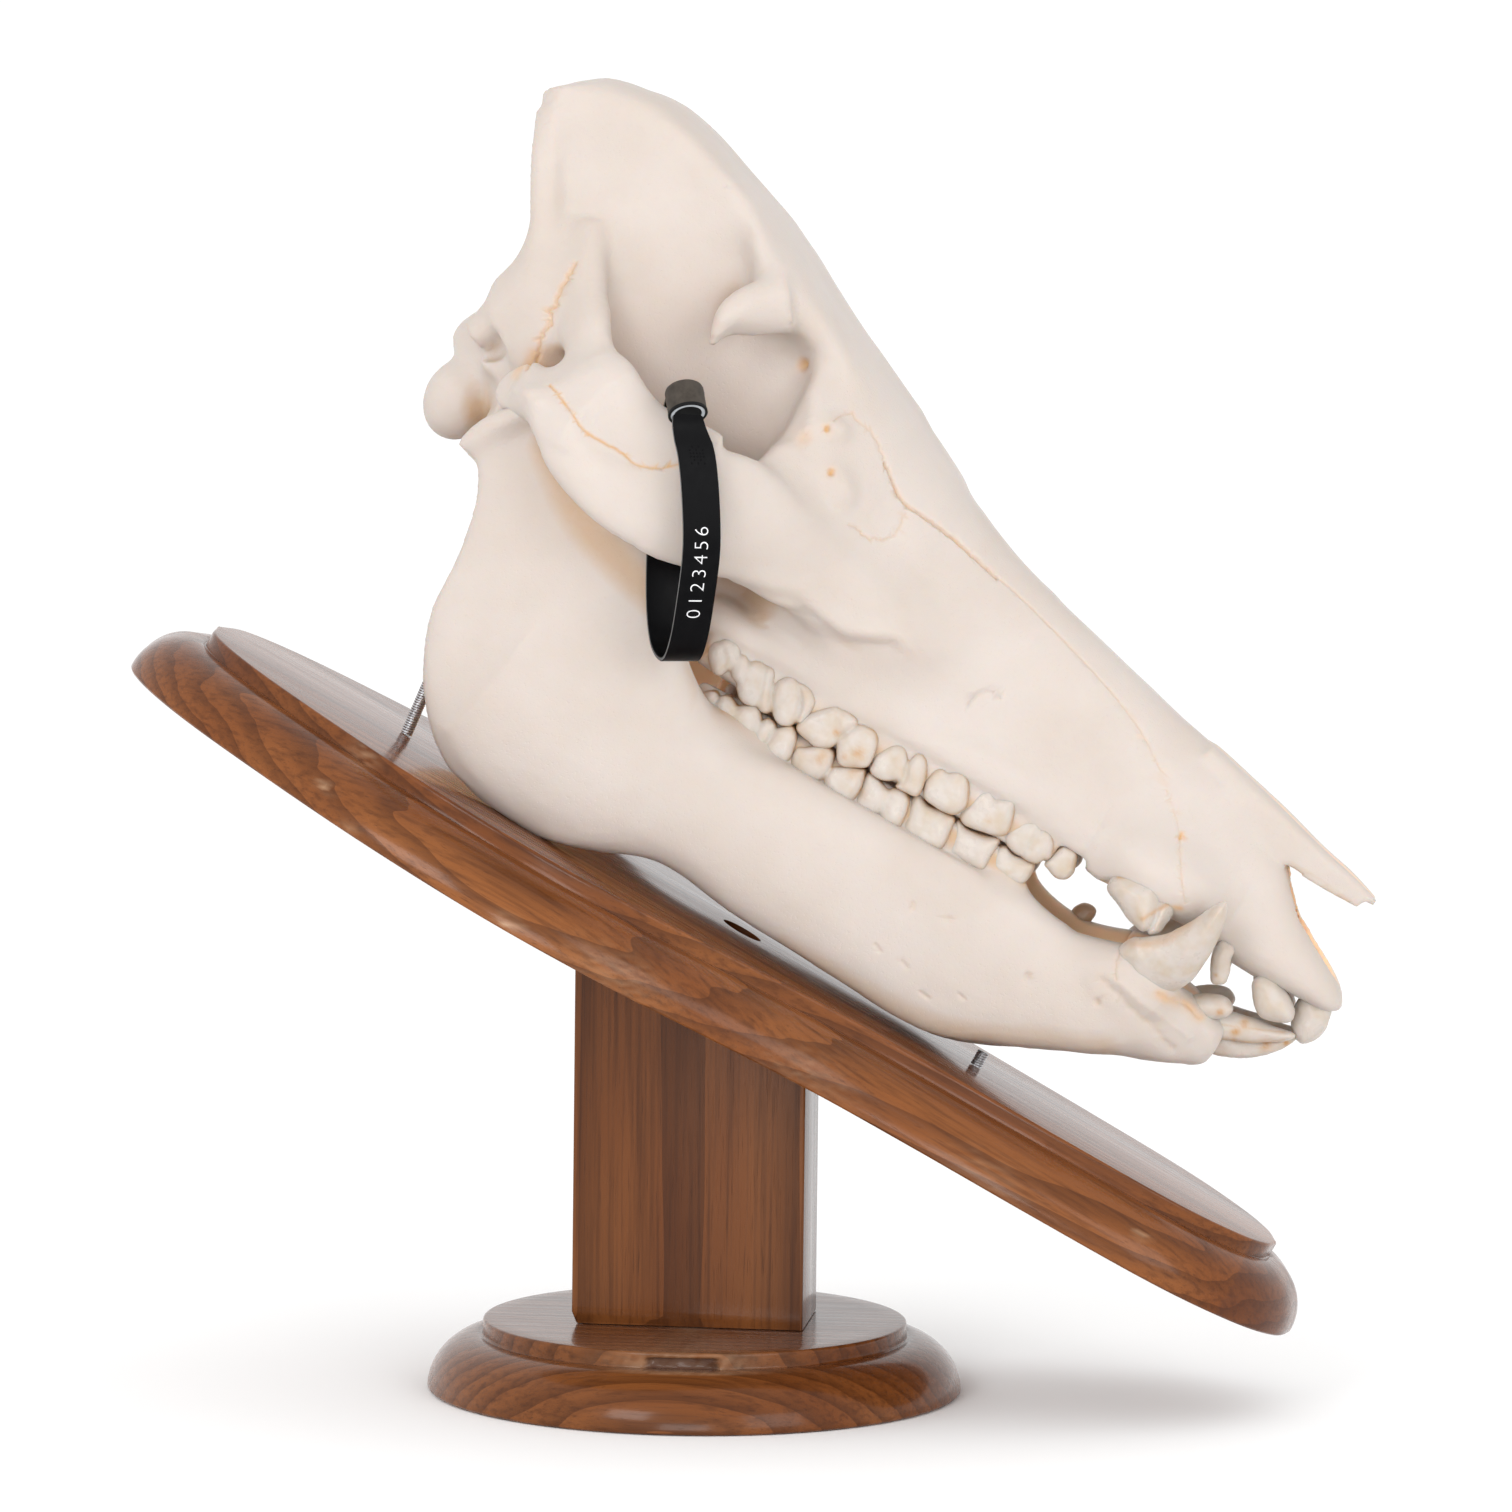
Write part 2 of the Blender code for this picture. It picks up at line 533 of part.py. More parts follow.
def mandible_forms():
    """The lower jaw's grown forms."""
    forms = [
        body("symphysis", [(52, 3, 24, 9, 14, 2.4), (64, 2, 34, 12, 19, 2.4),
                           (80, 8, 41, 14, 20, 2.4), (98, 18.5, 44, 16, 20, 2.4),
                           (114, 27, 45, 15, 18, 2.4), (127, 33.5, 45.5, 13, 15, 2.4),
                           (136, 38, 45.5, 9, 11, 2.4)]),
    ]
    for side in (-1, 1):
        forms += [
            plate("ramus", [(1.5, -86, -58, 46, 3), (4.5, -96, -46, 46.5, 5), (12, -106, -36, 47, 6),
                            (24, -115, -28, 48, 6.5), (40, -121.5, -32, 49, 6.5),
                            (56, -122.5, -40, 50, 6), (70, -124, -47, 51, 5.5), (82, -128, -56, 52, 5),
                            (92, -134.5, -68, 53, 4.5), (101, -133, -80, 53, 4),
                            (107, -126, -88, 53, 3)], side),
            limb("coronoid process", [(-84, 52.5, 92, 14, 4), (-90, 52, 104, 12, 3.5),
                                      (-95, 51, 114, 8, 3), (-98, 50, 121, 3, 1.8)], side),
            limb("jaw condyle", [(-121, 46, 97, 5, 5), (-124, 53, 97, 6.5, 6), (-124, 60, 97, 5.5, 5.5),
                                 (-123, 64, 96, 4, 4)], side),
            limb("jaw body", [(-78, 47, 34, 30, 7), (-58, 44, 32, 29, 9), (-38, 41, 32, 26, 10.5),
                              (-15, 37, 32.5, 24.5, 11), (10, 33, 32, 25, 10.5),
                              (35, 28.5, 31, 25.5, 9.5), (58, 24, 31, 26.5, 8.5),
                              (74, 21.5, 32, 21, 8), (86, 21, 34, 17.5, 8), (98, 21, 38, 16, 8.5),
                              (110, 20, 41.5, 13, 8), (122, 14.5, 43, 9.5, 7), (134, 8, 44, 5.5, 5)],
                 side, power=2.6),
            lump("canine socket", (103, 24.5, 48), (10, 8, 9.5), side, math.radians(-20)),
        ]
    return forms


def make_cranium(look, board):
    """Upper skull in one piece."""
    bone = grown("cranium", cranium_forms(), cranium_hollows(), CRANIUM_TRIANGLES)
    sockets = [horn("socket", stations, side, SOCKET_GAP)
               for _, stations in UPPER_FRONT_TEETH for side in (-1, 1)]
    flat = box("upper gum", (-51, -45, UPPER_GUM - 20), (79, 45, UPPER_GUM))
    finish(cut(bone, sockets + [flat]), look, board)


def make_mandible(look, board):
    """Lower jaw in one piece."""
    bone = grown("mandible", mandible_forms(), [], MANDIBLE_TRIANGLES)
    sockets = [horn("socket", stations, side, SOCKET_GAP)
               for _, stations in LOWER_FRONT_TEETH for side in (-1, 1)]
    flats = [box("lower gum", (-43, -37, LOWER_GUM), (67, 37, LOWER_GUM + 30)),
             box("first premolar gum", (80, 17, FIRST_PREMOLAR_GUM), (90, 26, FIRST_PREMOLAR_GUM + 9))]
    finish(cut(bone, sockets + flats), look, board)


def make_teeth(look, board):
    """Every tooth in its socket or on its rim, named by jaw, kind and side."""
    points = {"molar_3": 16, "molar_2": 12, "molar_1": 12, "premolar_4": 10}
    lobes = {"molar_3": 3, "molar_2": 2, "molar_1": 2}
    rows = [("upper", UPPER_CHEEK_TEETH, UPPER_FRONT_TEETH, UPPER_GUM - GAP, BITE + GAP / 2),
            ("lower", LOWER_CHEEK_TEETH, LOWER_FRONT_TEETH, LOWER_GUM + GAP, BITE - GAP / 2)]
    for side, hand in ((-1, "right"), (1, "left")):
        for jaw, cheek, front, gum, tip in rows:
            for kind, rear, fore, y, width in cheek:
                tooth = crown(f"{jaw}_{kind}_{hand}", rear, fore, y, width, gum, tip,
                              points.get(kind, 8), lobes.get(kind, 1), side)
                finish(tooth, look, board)
            for kind, stations in front:
                finish(horn(f"{jaw}_{kind}_{hand}", stations, side), look, board)
    tooth = crown(*FIRST_PREMOLAR, FIRST_PREMOLAR_GUM + GAP, FIRST_PREMOLAR_TIP, 8, 1, 1)
    finish(tooth, look, board)


def make_band(look):
    """Strap hung round the right cheek arch, both ends at the cap."""
    path = spline(BAND_PATH, 2)
    wide = np.array([math.cos(BAND_TURN), math.sin(BAND_TURN), 0])
    rings = []
    for i, centre in enumerate(path):
        along = path[min(i + 1, len(path) - 1)] - path[max(i - 1, 0)]
        out = np.cross(along, wide)
        out /= np.linalg.norm(out)
        half = wide * BAND_WIDTH / 2
        thick = out * BAND_THICKNESS / 2
        rings.append([centre - half - thick, centre + half - thick, centre + half + thick,
                      centre - half + thick])
    finish(skin("tag_band", rings), look)


def make_cap(look):
    """Round cap over the strap's ends."""
    cap = cylinder("tag_cap", CAP_RADIUS, -CAP_HALF_HEIGHT, CAP_HALF_HEIGHT, segments=20)
    cap.location = Vector(CAP_CENTRE) * MM
    finish(cap, look, smooth_angle=35)


for old in list(bpy.data.objects):
    bpy.data.objects.remove(old)
part_collection = bpy.data.collections.new("pig skull on plaque")
cutter_collection = bpy.data.collections.new("cutters")
bpy.context.scene.collection.children.link(part_collection)
bpy.context.scene.collection.children.link(cutter_collection)

bone_look = material("bone", (0.86, 0.80, 0.71), 0.55)
tooth_look = material("tooth", (0.90, 0.84, 0.74), 0.3)
wood_look = material("wood", (0.30, 0.15, 0.07), 0.4)
steel_look = material("steel", (0.6, 0.6, 0.6), 0.35, 1.0)
band_look = material("band", (0.015, 0.015, 0.017), 0.45)
cap_look = material("cap", (0.10, 0.09, 0.08), 0.4)

board_frame = bpy.data.objects.new("board frame", None)
part_collection.objects.link(board_frame)
board_frame.location = BOARD_CENTRE * MM
board_frame.rotation_euler.y = BOARD_SLOPE

make_base(wood_look)
make_post(wood_look)
make_plaque(wood_look, board_frame)
make_rod("rear_rod", REAR_ROD_FOOT, REAR_ROD_LEAN, REAR_ROD_TOP, steel_look, board_frame)
make_rod("front_stud", FRONT_STUD_FOOT, 0.0, FRONT_STUD_TOP, steel_look, board_frame)
make_cranium(bone_look, board_frame)
make_mandible(bone_look, board_frame)
make_teeth(tooth_look, board_frame)
make_band(band_look)
make_cap(cap_look)
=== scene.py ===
"""Looks of the pig skull on its walnut stand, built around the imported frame.

The bones are grown here as distance fields on a grid, in the board's own frame and in millimetres:
the origin at the middle of the board's top face, X down the slope towards the snout, Z square to
the board. One side is worked out and mirrored. The frame itself is in metres, +Z up.
"""
import json
import math

import bmesh
import bpy
import numpy as np
from mathutils import Matrix, Vector

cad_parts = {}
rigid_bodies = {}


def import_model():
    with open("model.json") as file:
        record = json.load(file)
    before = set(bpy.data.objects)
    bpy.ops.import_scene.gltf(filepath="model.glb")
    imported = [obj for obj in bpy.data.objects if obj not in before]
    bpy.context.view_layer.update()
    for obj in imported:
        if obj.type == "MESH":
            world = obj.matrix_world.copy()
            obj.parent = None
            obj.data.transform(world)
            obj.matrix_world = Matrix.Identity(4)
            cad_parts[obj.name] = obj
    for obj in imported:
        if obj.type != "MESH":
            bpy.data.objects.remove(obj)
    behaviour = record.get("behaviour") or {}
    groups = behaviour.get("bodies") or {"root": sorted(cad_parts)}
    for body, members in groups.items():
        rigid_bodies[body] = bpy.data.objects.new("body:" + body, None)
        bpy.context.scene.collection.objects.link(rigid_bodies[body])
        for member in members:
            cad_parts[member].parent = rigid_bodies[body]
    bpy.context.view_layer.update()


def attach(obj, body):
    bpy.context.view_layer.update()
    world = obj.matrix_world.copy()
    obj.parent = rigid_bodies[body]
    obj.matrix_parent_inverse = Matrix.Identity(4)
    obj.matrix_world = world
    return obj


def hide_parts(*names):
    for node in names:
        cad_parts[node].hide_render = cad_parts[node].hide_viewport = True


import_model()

MM = 0.001

# Board, as in the part, and the upright frame of the foot, both in millimetres
BOARD_SLOPE = math.radians(29.0)
BOARD_CENTRE = Vector((12.9, 0.0, 137.5))
FOOT_FRAME = Matrix.Diagonal((MM, MM, MM, 1.0))
BOARD_FRAME = FOOT_FRAME @ Matrix.Translation(BOARD_CENTRE) @ Matrix.Rotation(BOARD_SLOPE, 4, "Y")

# Camera, fitted to the photo: distance, turn round the stand, height, aim and focal length
CAMERA_DISTANCE = 1500.0
CAMERA_TURN = 0.127
CAMERA_HEIGHT = 269.8
CAMERA_YAW = -CAMERA_TURN + 0.0109
CAMERA_PITCH = -0.0534
CAMERA_ROLL = 0.0117
CAMERA_LENS = 119.86

# Grids of the distance fields, and about how many triangles each bone keeps
BONE_STEP = 1.3
TOOTH_STEP = 0.42
CRANIUM_TRIANGLES = 130000
MANDIBLE_TRIANGLES = 80000
# Space that is worked out round each form, and the distance that stands for far away
MARGIN = 9.0
FAR = 40.0
# Spans between two stations, rounding of a form's ends, and how square sections are: 2 is an ellipse
SPANS = 6
LIMB_SPANS = 8
END_BLEND = 5
SQUARENESS = 2.4
# Shortest edge that is halved again beside a mark, and the width that marks have to be under; and how
# far beside a mark, for each unit of its width and past that
REFINEMENTS = [(1.0, 2.3), (0.5, 1.3)]
BESIDE_SHARE = 1.7
BESIDE_SPARE = 0.3
# How a triangle is cut where its first edge, its first two or all three are halved: 0 to 2 are its
# corners, 3 to 5 the middles of its edges 01, 12 and 20
HALVED = {(True, False, False): [(0, 3, 2), (3, 1, 2)],
          (True, True, False): [(3, 1, 4), (0, 3, 4), (0, 4, 2)]}
ALL_HALVED = [(3, 4, 5), (0, 3, 5), (1, 4, 3), (2, 5, 4)]
# Smoothing and its rounds, how strongly a place is evened out and over what width that fades in
SMOOTHING = 0.5
BONE_ROUNDS = 3
TOOTH_ROUNDS = 2
EASING = 0.8
EASING_FADE = 4.0
# Waves in the bone: size and depth; and how far off the surface the field is read for the painted shade in
# hollows
WAVE_SIZE = 14.0
WAVE_DEPTH = 0.12
RECESS_REACHES = (4.0, 8.0, 14.0)


def spline(points, steps):
    """Points on a smooth curve through the given points, with steps spans between each two."""
    pts = np.array(points, float)
    ends = np.vstack([2 * pts[0] - pts[1], pts, 2 * pts[-1] - pts[-2]])
    made = []
    for i in range(1, len(ends) - 2):
        before, start, end, after = ends[i - 1:i + 3]
        for t in (k / steps for k in range(steps)):
            made.append(0.5 * (2 * start + (end - before) * t
                               + (2 * before - 5 * start + 4 * end - after) * t ** 2
                               + (3 * start - before - 3 * end + after) * t ** 3))
    return np.array(made + [pts[-1]])


def lengths_along(path):
    """How far along a path each of its points lies."""
    return np.concatenate([[0], np.cumsum(np.linalg.norm(np.diff(path, axis=0), axis=1))])


def crinkled(line, step=1.1, amount=0.0, seed=1):
    """A line through points, cut into short steps and shaken sideways."""
    pts = spline(line, 4)
    reach = lengths_along(pts)
    at = np.linspace(0, reach[-1], max(int(reach[-1] / step), 2))
    made = np.stack([np.interp(at, reach, pts[:, k]) for k in (0, 1)], axis=1)
    return made + np.random.default_rng(seed).normal(size=made.shape) * amount


def soft_min(a, b, blend):
    """The lower of two distances, rounded where they meet."""
    if blend <= 0:
        return np.minimum(a, b)
    near = np.maximum(blend - np.abs(a - b), 0) / blend
    return np.minimum(a, b) - near * near * blend / 4


def rounded(u, v, half_u, half_v, power=SQUARENESS):
    """Distance to a superellipse, worked out from the slope of its equation."""
    s = np.abs(u) / half_u + 1e-4
    t = np.abs(v) / half_v + 1e-4
    sp = s ** power
    tp = t ** power
    r = (sp + tp) ** (1 / power)
    slope = r * np.hypot(sp / s / half_u, tp / t / half_v) / (sp + tp)
    return (r - 1) / (slope + 1e-4)


def faded(away, width):
    """Falls from 1 towards 0 with distance."""
    return np.exp(-(away / width) ** 2)


def to_stretch(x, z, a, b):
    """Squared distance in a plane to the straight stretch from a to b."""
    dx, dz = b - a
    t = np.clip(((x - a[0]) * dx + (z - a[1]) * dz) / max(dx * dx + dz * dz, 1e-9), 0, 1)
    return (x - a[0] - t * dx) ** 2 + (z - a[1] - t * dz) ** 2


def to_line(x, z, line):
    """Distance in a plane to a line through points."""
    line = np.array(line, float)
    return np.sqrt(np.minimum.reduce([to_stretch(x, z, a, b) for a, b in zip(line[:-1], line[1:])]))


def to_outline(x, z, line):
    """Distance in a plane to a closed line through points, below zero inside."""
    found = np.full(np.broadcast(x, z).shape, np.inf)
    inside = np.zeros(found.shape, bool)
    for a, b in zip(line, np.roll(line, -1, axis=0)):
        found = np.minimum(found, to_stretch(x, z, a, b))
        if a[1] != b[1]:
            level = (z - a[1]) / (b[1] - a[1])
            inside ^= ((a[1] > z) != (b[1] > z)) & (x < a[0] + level * (b[0] - a[0]))
    return np.sqrt(found) * np.where(inside, -1, 1)


class Field:
    """Distances on a regular grid between two corners: below zero is bone."""

    def __init__(self, low, high, step):
        self.step = step
        self.axes = [np.arange(a, b + step, step, dtype=np.float32) for a, b in zip(low, high)]
        self.distance = np.full([len(axis) for axis in self.axes], FAR, np.float32)

    def window(self, low, high):
        """The part of the grid between two corners, as slices and as coordinates."""
        cut = tuple(slice(*np.searchsorted(axis, (a, b))) for axis, a, b in zip(self.axes, low, high))
        x, y, z = (axis[c] for axis, c in zip(self.axes, cut))
        return cut, x[:, None, None], y[None, :, None], z[None, None, :]

    def grow(self, shape, blend):
        """Adds a shape, with a fillet."""
        cut, found = shape(self)
        self.distance[cut] = soft_min(self.distance[cut], found, blend)

    def carve(self, shape, blend):
        """Takes a shape away, with a fillet."""
        cut, found = shape(self)
        self.distance[cut] = -soft_min(-self.distance[cut], found, blend)

    def mirrored(self):
        """The same field on both sides of y = 0, where its grid starts."""
        whole = Field((0, 0, 0), (1, 1, 1), self.step)
        x, y, z = self.axes
        whole.axes = [x, np.concatenate([-y[:0:-1], y]), z]
        whole.distance = np.concatenate([self.distance[:, :0:-1], self.distance], axis=1)
        return whole

    def sample(self, points):
        """Distances at points, straight between the grid's own."""
        short = 1.001  # just short of the last grid point, so that a cell lies beyond each place
        place = [np.clip((p - axis[0]) / self.step, 0, len(axis) - short)
                 for p, axis in zip(points.T, self.axes)]
        base = [p.astype(int) for p in place]
        part = [p - b for p, b in zip(place, base)]
        total = np.zeros(len(points))
        for corner in np.ndindex(2, 2, 2):
            weight = np.prod([p if c else 1 - p for p, c in zip(part, corner)], axis=0)
            total += weight * self.distance[tuple(b + c for b, c in zip(base, corner))]
        return total


def stations_at(line, at):
    """What a line's other columns say at places along its first one."""
    return [np.interp(at, line[:, 0], column).astype(np.float32) for column in line[:, 1:].T]


def ended(side, line, at, blend):
    """A long form cut off at both ends of its line, with rounded edges."""
    end = np.maximum(line[0, 0] - at, at - line[-1, 0]) + 0 * side
    return -soft_min(-side, -end, blend)


def body(stations):
    """Form that straddles the midline: x, lowest z, highest z, half widths low and high, squareness."""
    line = spline(stations, SPANS)

    def shape(field):
        low = (line[0, 0] - MARGIN, -1, line[:, 1].min() - MARGIN)
        high = (line[-1, 0] + MARGIN, line[:, 3:5].max() + MARGIN, line[:, 2].max() + MARGIN)
        cut, x, y, z = field.window(low, high)
        bottom, top, wide_low, wide_high, power = stations_at(line, x)
        middle, half = (bottom + top) / 2, (top - bottom) / 2
        up = np.clip((z - middle) / half, -1, 1)
        wide = wide_low + (wide_high - wide_low) * (up + 1) / 2
        return cut, ended(rounded(z - middle, y, half, wide, power), line, x, END_BLEND)
    return shape


def plate(stations, end_blend=4):
    """Upright form: z, rearmost x, foremost x, y of its middle, half width and, if not 2.4, squareness."""
    line = spline(stations, SPANS)

    def shape(field):
        low = (line[:, 1].min() - MARGIN, (line[:, 3] - line[:, 4]).min() - MARGIN, line[0, 0] - MARGIN)
        high = (line[:, 2].max() + MARGIN, (line[:, 3] + line[:, 4]).max() + MARGIN, line[-1, 0] + MARGIN)
        cut, x, y, z = field.window(low, high)
        rear, fore, middle, wide, *power = stations_at(line, z)
        side = rounded(x - (rear + fore) / 2, y - middle, (fore - rear) / 2, wide, *power)
        return cut, ended(side, line, z, end_blend)
    return shape


def limb(stations):
    """Bar along a path: x, y, z of its middle, half height and half thickness, which lies level."""
    line = spline(stations, LIMB_SPANS)
    path = line[:, :3]
    along = np.gradient(path, axis=0)
    along /= np.linalg.norm(along, axis=1)[:, None]
    thick = np.cross(along, (0, 0, 1))
    thick /= np.linalg.norm(thick, axis=1)[:, None]
    tall = np.cross(thick, along)
    pitch = np.linalg.norm(np.diff(path, axis=0), axis=1).max()
    reach = line[:, 3:5].max(axis=1)[:, None] + MARGIN

    def shape(field):
        cut, *axes = field.window((path - reach).min(axis=0), (path + reach).max(axis=0))
        found = np.full([axis.size for axis in axes], FAR, np.float32)
        for i, half_sizes in enumerate(line[:, 3:5]):
            near = tuple(slice(*np.searchsorted(axis.ravel(), (p - reach[i, 0], p + reach[i, 0])))
                         for axis, p in zip(axes, path[i]))
            if any(n.stop <= n.start for n in near):
                continue
            x, y, z = axes
            away = x[near[0]] - path[i, 0], y[:, near[1]] - path[i, 1], z[:, :, near[2]] - path[i, 2]
            up, out, fore = (sum(part * d for part, d in zip(away, way[i])) for way in (tall, thick, along))
            side = rounded(up, out, *half_sizes)
            found[near] = np.minimum(found[near], np.maximum(side, np.abs(fore) - pitch))
        return cut, found
    return shape


def lump(centre, size, lean=0.0):
    """Ellipsoid with half sizes along X, Y and Z, leant forward about Y."""
    place = np.array(Matrix.Rotation(lean, 3, "Y"))
    size = np.array(size, float)

    def shape(field):
        reach = size.max() + MARGIN
        cut, *axes = field.window(np.array(centre) - reach, np.array(centre) + reach)
        offset = [axis - middle for axis, middle in zip(axes, centre)]
        local = [sum(place[k, i] * offset[k] for k in range(3)) / size[i] for i in range(3)]
        r = np.sqrt(sum(part ** 2 for part in local) + 1e-6)
        slope = 1 / r * np.sqrt(sum((np.abs(part) / half) ** 2 for part, half in zip(local, size)))
        return cut, (r - 1) / (slope + 1e-3)
    return shape


def block(low, high):
    """Upright box between two corners."""
    low, high = np.array(low, float), np.array(high, float)

    def shape(field):
        cut, *axes = field.window(low - MARGIN, high + MARGIN)
        away = [np.abs(axis - (a + b) / 2) - (b - a) / 2 for axis, a, b in zip(axes, low, high)]
        outside = np.sqrt(sum(np.maximum(part, 0) ** 2 for part in away))
        return cut, outside + np.minimum(np.maximum(np.maximum(away[0], away[1]), away[2]), 0)
    return shape


def surface(field):
    """Points and triangles of the field's zero surface, one point in each cell that it crosses."""
    d = field.distance
    inside = d < 0
    shape = np.array(d.shape) - 1
    corners = [inside[i:shape[0] + i, j:shape[1] + j, k:shape[2] + k] for i, j, k in np.ndindex(2, 2, 2)]
    count = sum(c.astype(np.int8) for c in corners)
    cells = np.argwhere((count > 0) & (count < 8))
    total = np.zeros((len(cells), 3))
    crossings = np.zeros(len(cells))
    unit = np.eye(3, dtype=int)
    for axis in range(3):
        for start in np.ndindex(2, 2, 2):
            if start[axis]:
                continue
            a, b = (d[tuple((cells + corner).T)] for corner in (start, start + unit[axis]))
            crossed = (a < 0) != (b < 0)
            share = np.where(crossed, a / np.where(crossed, a - b, 1), 0)
            total += crossed[:, None] * (start + share[:, None] * unit[axis])
            crossings += crossed
    points = (cells + total / crossings[:, None]) * field.step + [axis[0] for axis in field.axes]
    index = np.full(shape, -1, np.int32)
    index[tuple(cells.T)] = np.arange(len(cells))
    quads = []
    for axis in range(3):
        one, other = np.delete(unit, axis, axis=0)
        edge = np.argwhere(np.diff(inside, axis=axis))
        edge = edge[((edge > 0) & (edge < shape) | (unit[axis] > 0)).all(axis=1)]
        ring = np.stack([index[tuple((edge + first * one + second * other).T)]
                         for first, second in ((-1, -1), (0, -1), (0, 0), (-1, 0))], axis=1)
        turned = inside[tuple(edge.T)] == (axis == 1)
        ring[turned] = ring[turned, ::-1]
        quads.append(ring)
    quads = np.concatenate(quads)
    return points, np.concatenate([quads[:, [0, 1, 2]], quads[:, [0, 2, 3]]])


def edges_of(faces):
    """Every edge once, and for each face the numbers of its edges 01, 12 and 20."""
    pairs = np.sort(np.concatenate([faces[:, [0, 1]], faces[:, [1, 2]], faces[:, [2, 0]]]), axis=1)
    key = pairs[:, 0].astype(np.int64) * (faces.max() + 1) + pairs[:, 1]
    _, first, index = np.unique(key, return_index=True, return_inverse=True)
    return pairs[first], index.reshape(3, -1).T


def beside(points, edges):
    """For each point, the mean of its neighbours along edges, less the point itself."""
    count = np.maximum(np.bincount(edges.ravel(), minlength=len(points)), 1)[:, None]
    total = np.stack([np.bincount(edges[:, 0], points[edges[:, 1], k], len(points))
                      + np.bincount(edges[:, 1], points[edges[:, 0], k], len(points))
                      for k in range(3)], axis=1)
    return total / count - points


def smoothed(points, faces, rounds):
    """Points evened out along the surface, each pass followed by one that keeps the volume."""
    edges, _ = edges_of(faces)
    for step in [SMOOTHING, -SMOOTHING * 1.03] * rounds:
        points = points + step * beside(points, edges)
    return points


def eased(points, faces, lines):
    """Points evened out near lines seen from the side, most on the lines themselves."""
    edges, _ = edges_of(faces)
    for line, beyond, width, passes in lines:
        share = np.exp(-(to_line(*points.T[[0, 2]], line) / width) ** 2)
        share *= np.clip((np.abs(points[:, 1]) - beyond) / EASING_FADE, 0, 1)
        near = share > 0.02
        used = edges[near[edges].any(axis=1)]
        for _ in range(passes):
            moved = points + share[:, None] * EASING * beside(points, used)
            points = np.where(near[:, None], moved, points)
    return points


def normals_of(points, faces):
    """Outward direction at each point."""
    a, b, c = (points[faces[:, i]] for i in range(3))
    face = np.cross(b - a, c - a)
    total = np.stack([sum(np.bincount(faces[:, i], face[:, k], len(points)) for i in range(3))
                      for k in range(3)], axis=1)
    return total / np.maximum(np.linalg.norm(total, axis=1), 1e-9)[:, None]


def wavy(points, size, seed):
    """Smooth noise between about -1 and 1: a few sine waves in seeded directions."""
    made = np.zeros(len(points))
    chance = np.random.default_rng(seed)
    for octave in range(3):
        for _ in range(4):
            direction = chance.normal(size=3)
            direction *= 2 ** octave * 2 * np.pi / size / np.linalg.norm(direction)
            made += np.sin(points @ direction + chance.uniform(0, 2 * np.pi)) * 0.5 ** octave
    return made / 4


def mark_distance(points, line, beyond, both=True):
    """Distance from each point to a mark, seen from the side."""
    found = np.full(len(points), FAR)
    flat = points[:, [0, 2]]
    near = (flat > line.min(axis=0) - MARGIN) & (flat < line.max(axis=0) + MARGIN)
    near = near.all(axis=1) & (np.abs(points[:, 1]) > beyond) & (both | (points[:, 1] < 0))
    found[near] = to_line(*flat[near].T, line)
    return found


def near_marks(points, lines, marks, widest):
    """Which points lie beside a mark finer than widest."""
    found = np.zeros(len(points), bool)
    for line, (_, beyond, both, width, depth, stain_width, stain, _) in zip(lines, marks):
        finest = min(width if depth else FAR, stain_width if stain else FAR)
        if finest < widest:
            found |= mark_distance(points, line, beyond, both) < BESIDE_SHARE * finest + BESIDE_SPARE
    return found


def refined(points, faces, lines, marks, shortest, widest):
    """Triangles with each edge halved, down to a shortest length, beside the marks finer than widest."""
    edges, sides = edges_of(faces)
    middle = points[edges].mean(axis=1)
    length = np.linalg.norm(points[edges[:, 0]] - points[edges[:, 1]], axis=1)
    split = near_marks(middle, lines, marks, widest) & (length > shortest)
    number = np.where(split, len(points) + np.cumsum(split) - 1, -1)
    new = number[sides]
    made = [faces[(new < 0).all(axis=1)]]
    for turn in range(3):
        six = np.hstack([np.roll(faces, -turn, axis=1), np.roll(new, -turn, axis=1)])
        for halved, cuts in HALVED.items():
            chosen = six[((six[:, 3:] >= 0) == halved).all(axis=1)]
            made += [chosen[:, cut] for cut in cuts]
    six = np.hstack([faces, new])[(new >= 0).all(axis=1)]
    made += [six[:, cut] for cut in ALL_HALVED]
    return np.vstack([points, middle[split]]), np.concatenate(made)


def new_object(name, data):
    """An object in the scene."""
    made = bpy.data.objects.new(name, data)
    bpy.context.scene.collection.objects.link(made)
    return made


def mesh_object(name, points, faces, place=BOARD_FRAME, sharp=None):
    """Smooth-shaded mesh object from points in a frame and faces with any number of corners."""
    mesh = bpy.data.meshes.new(name)
    mesh.from_pydata(np.asarray(points).tolist(), [], faces)
    mesh.transform(place)
    mesh.shade_smooth()
    if sharp:
        mesh.set_sharp_from_angle(angle=math.radians(sharp))
    return new_object(name, mesh)


def worked_out(obj):
    """A copy of an object's mesh with its modifiers or its text worked out."""
    bpy.context.view_layer.update()
    return bpy.data.meshes.new_from_object(obj.evaluated_get(bpy.context.evaluated_depsgraph_get()))


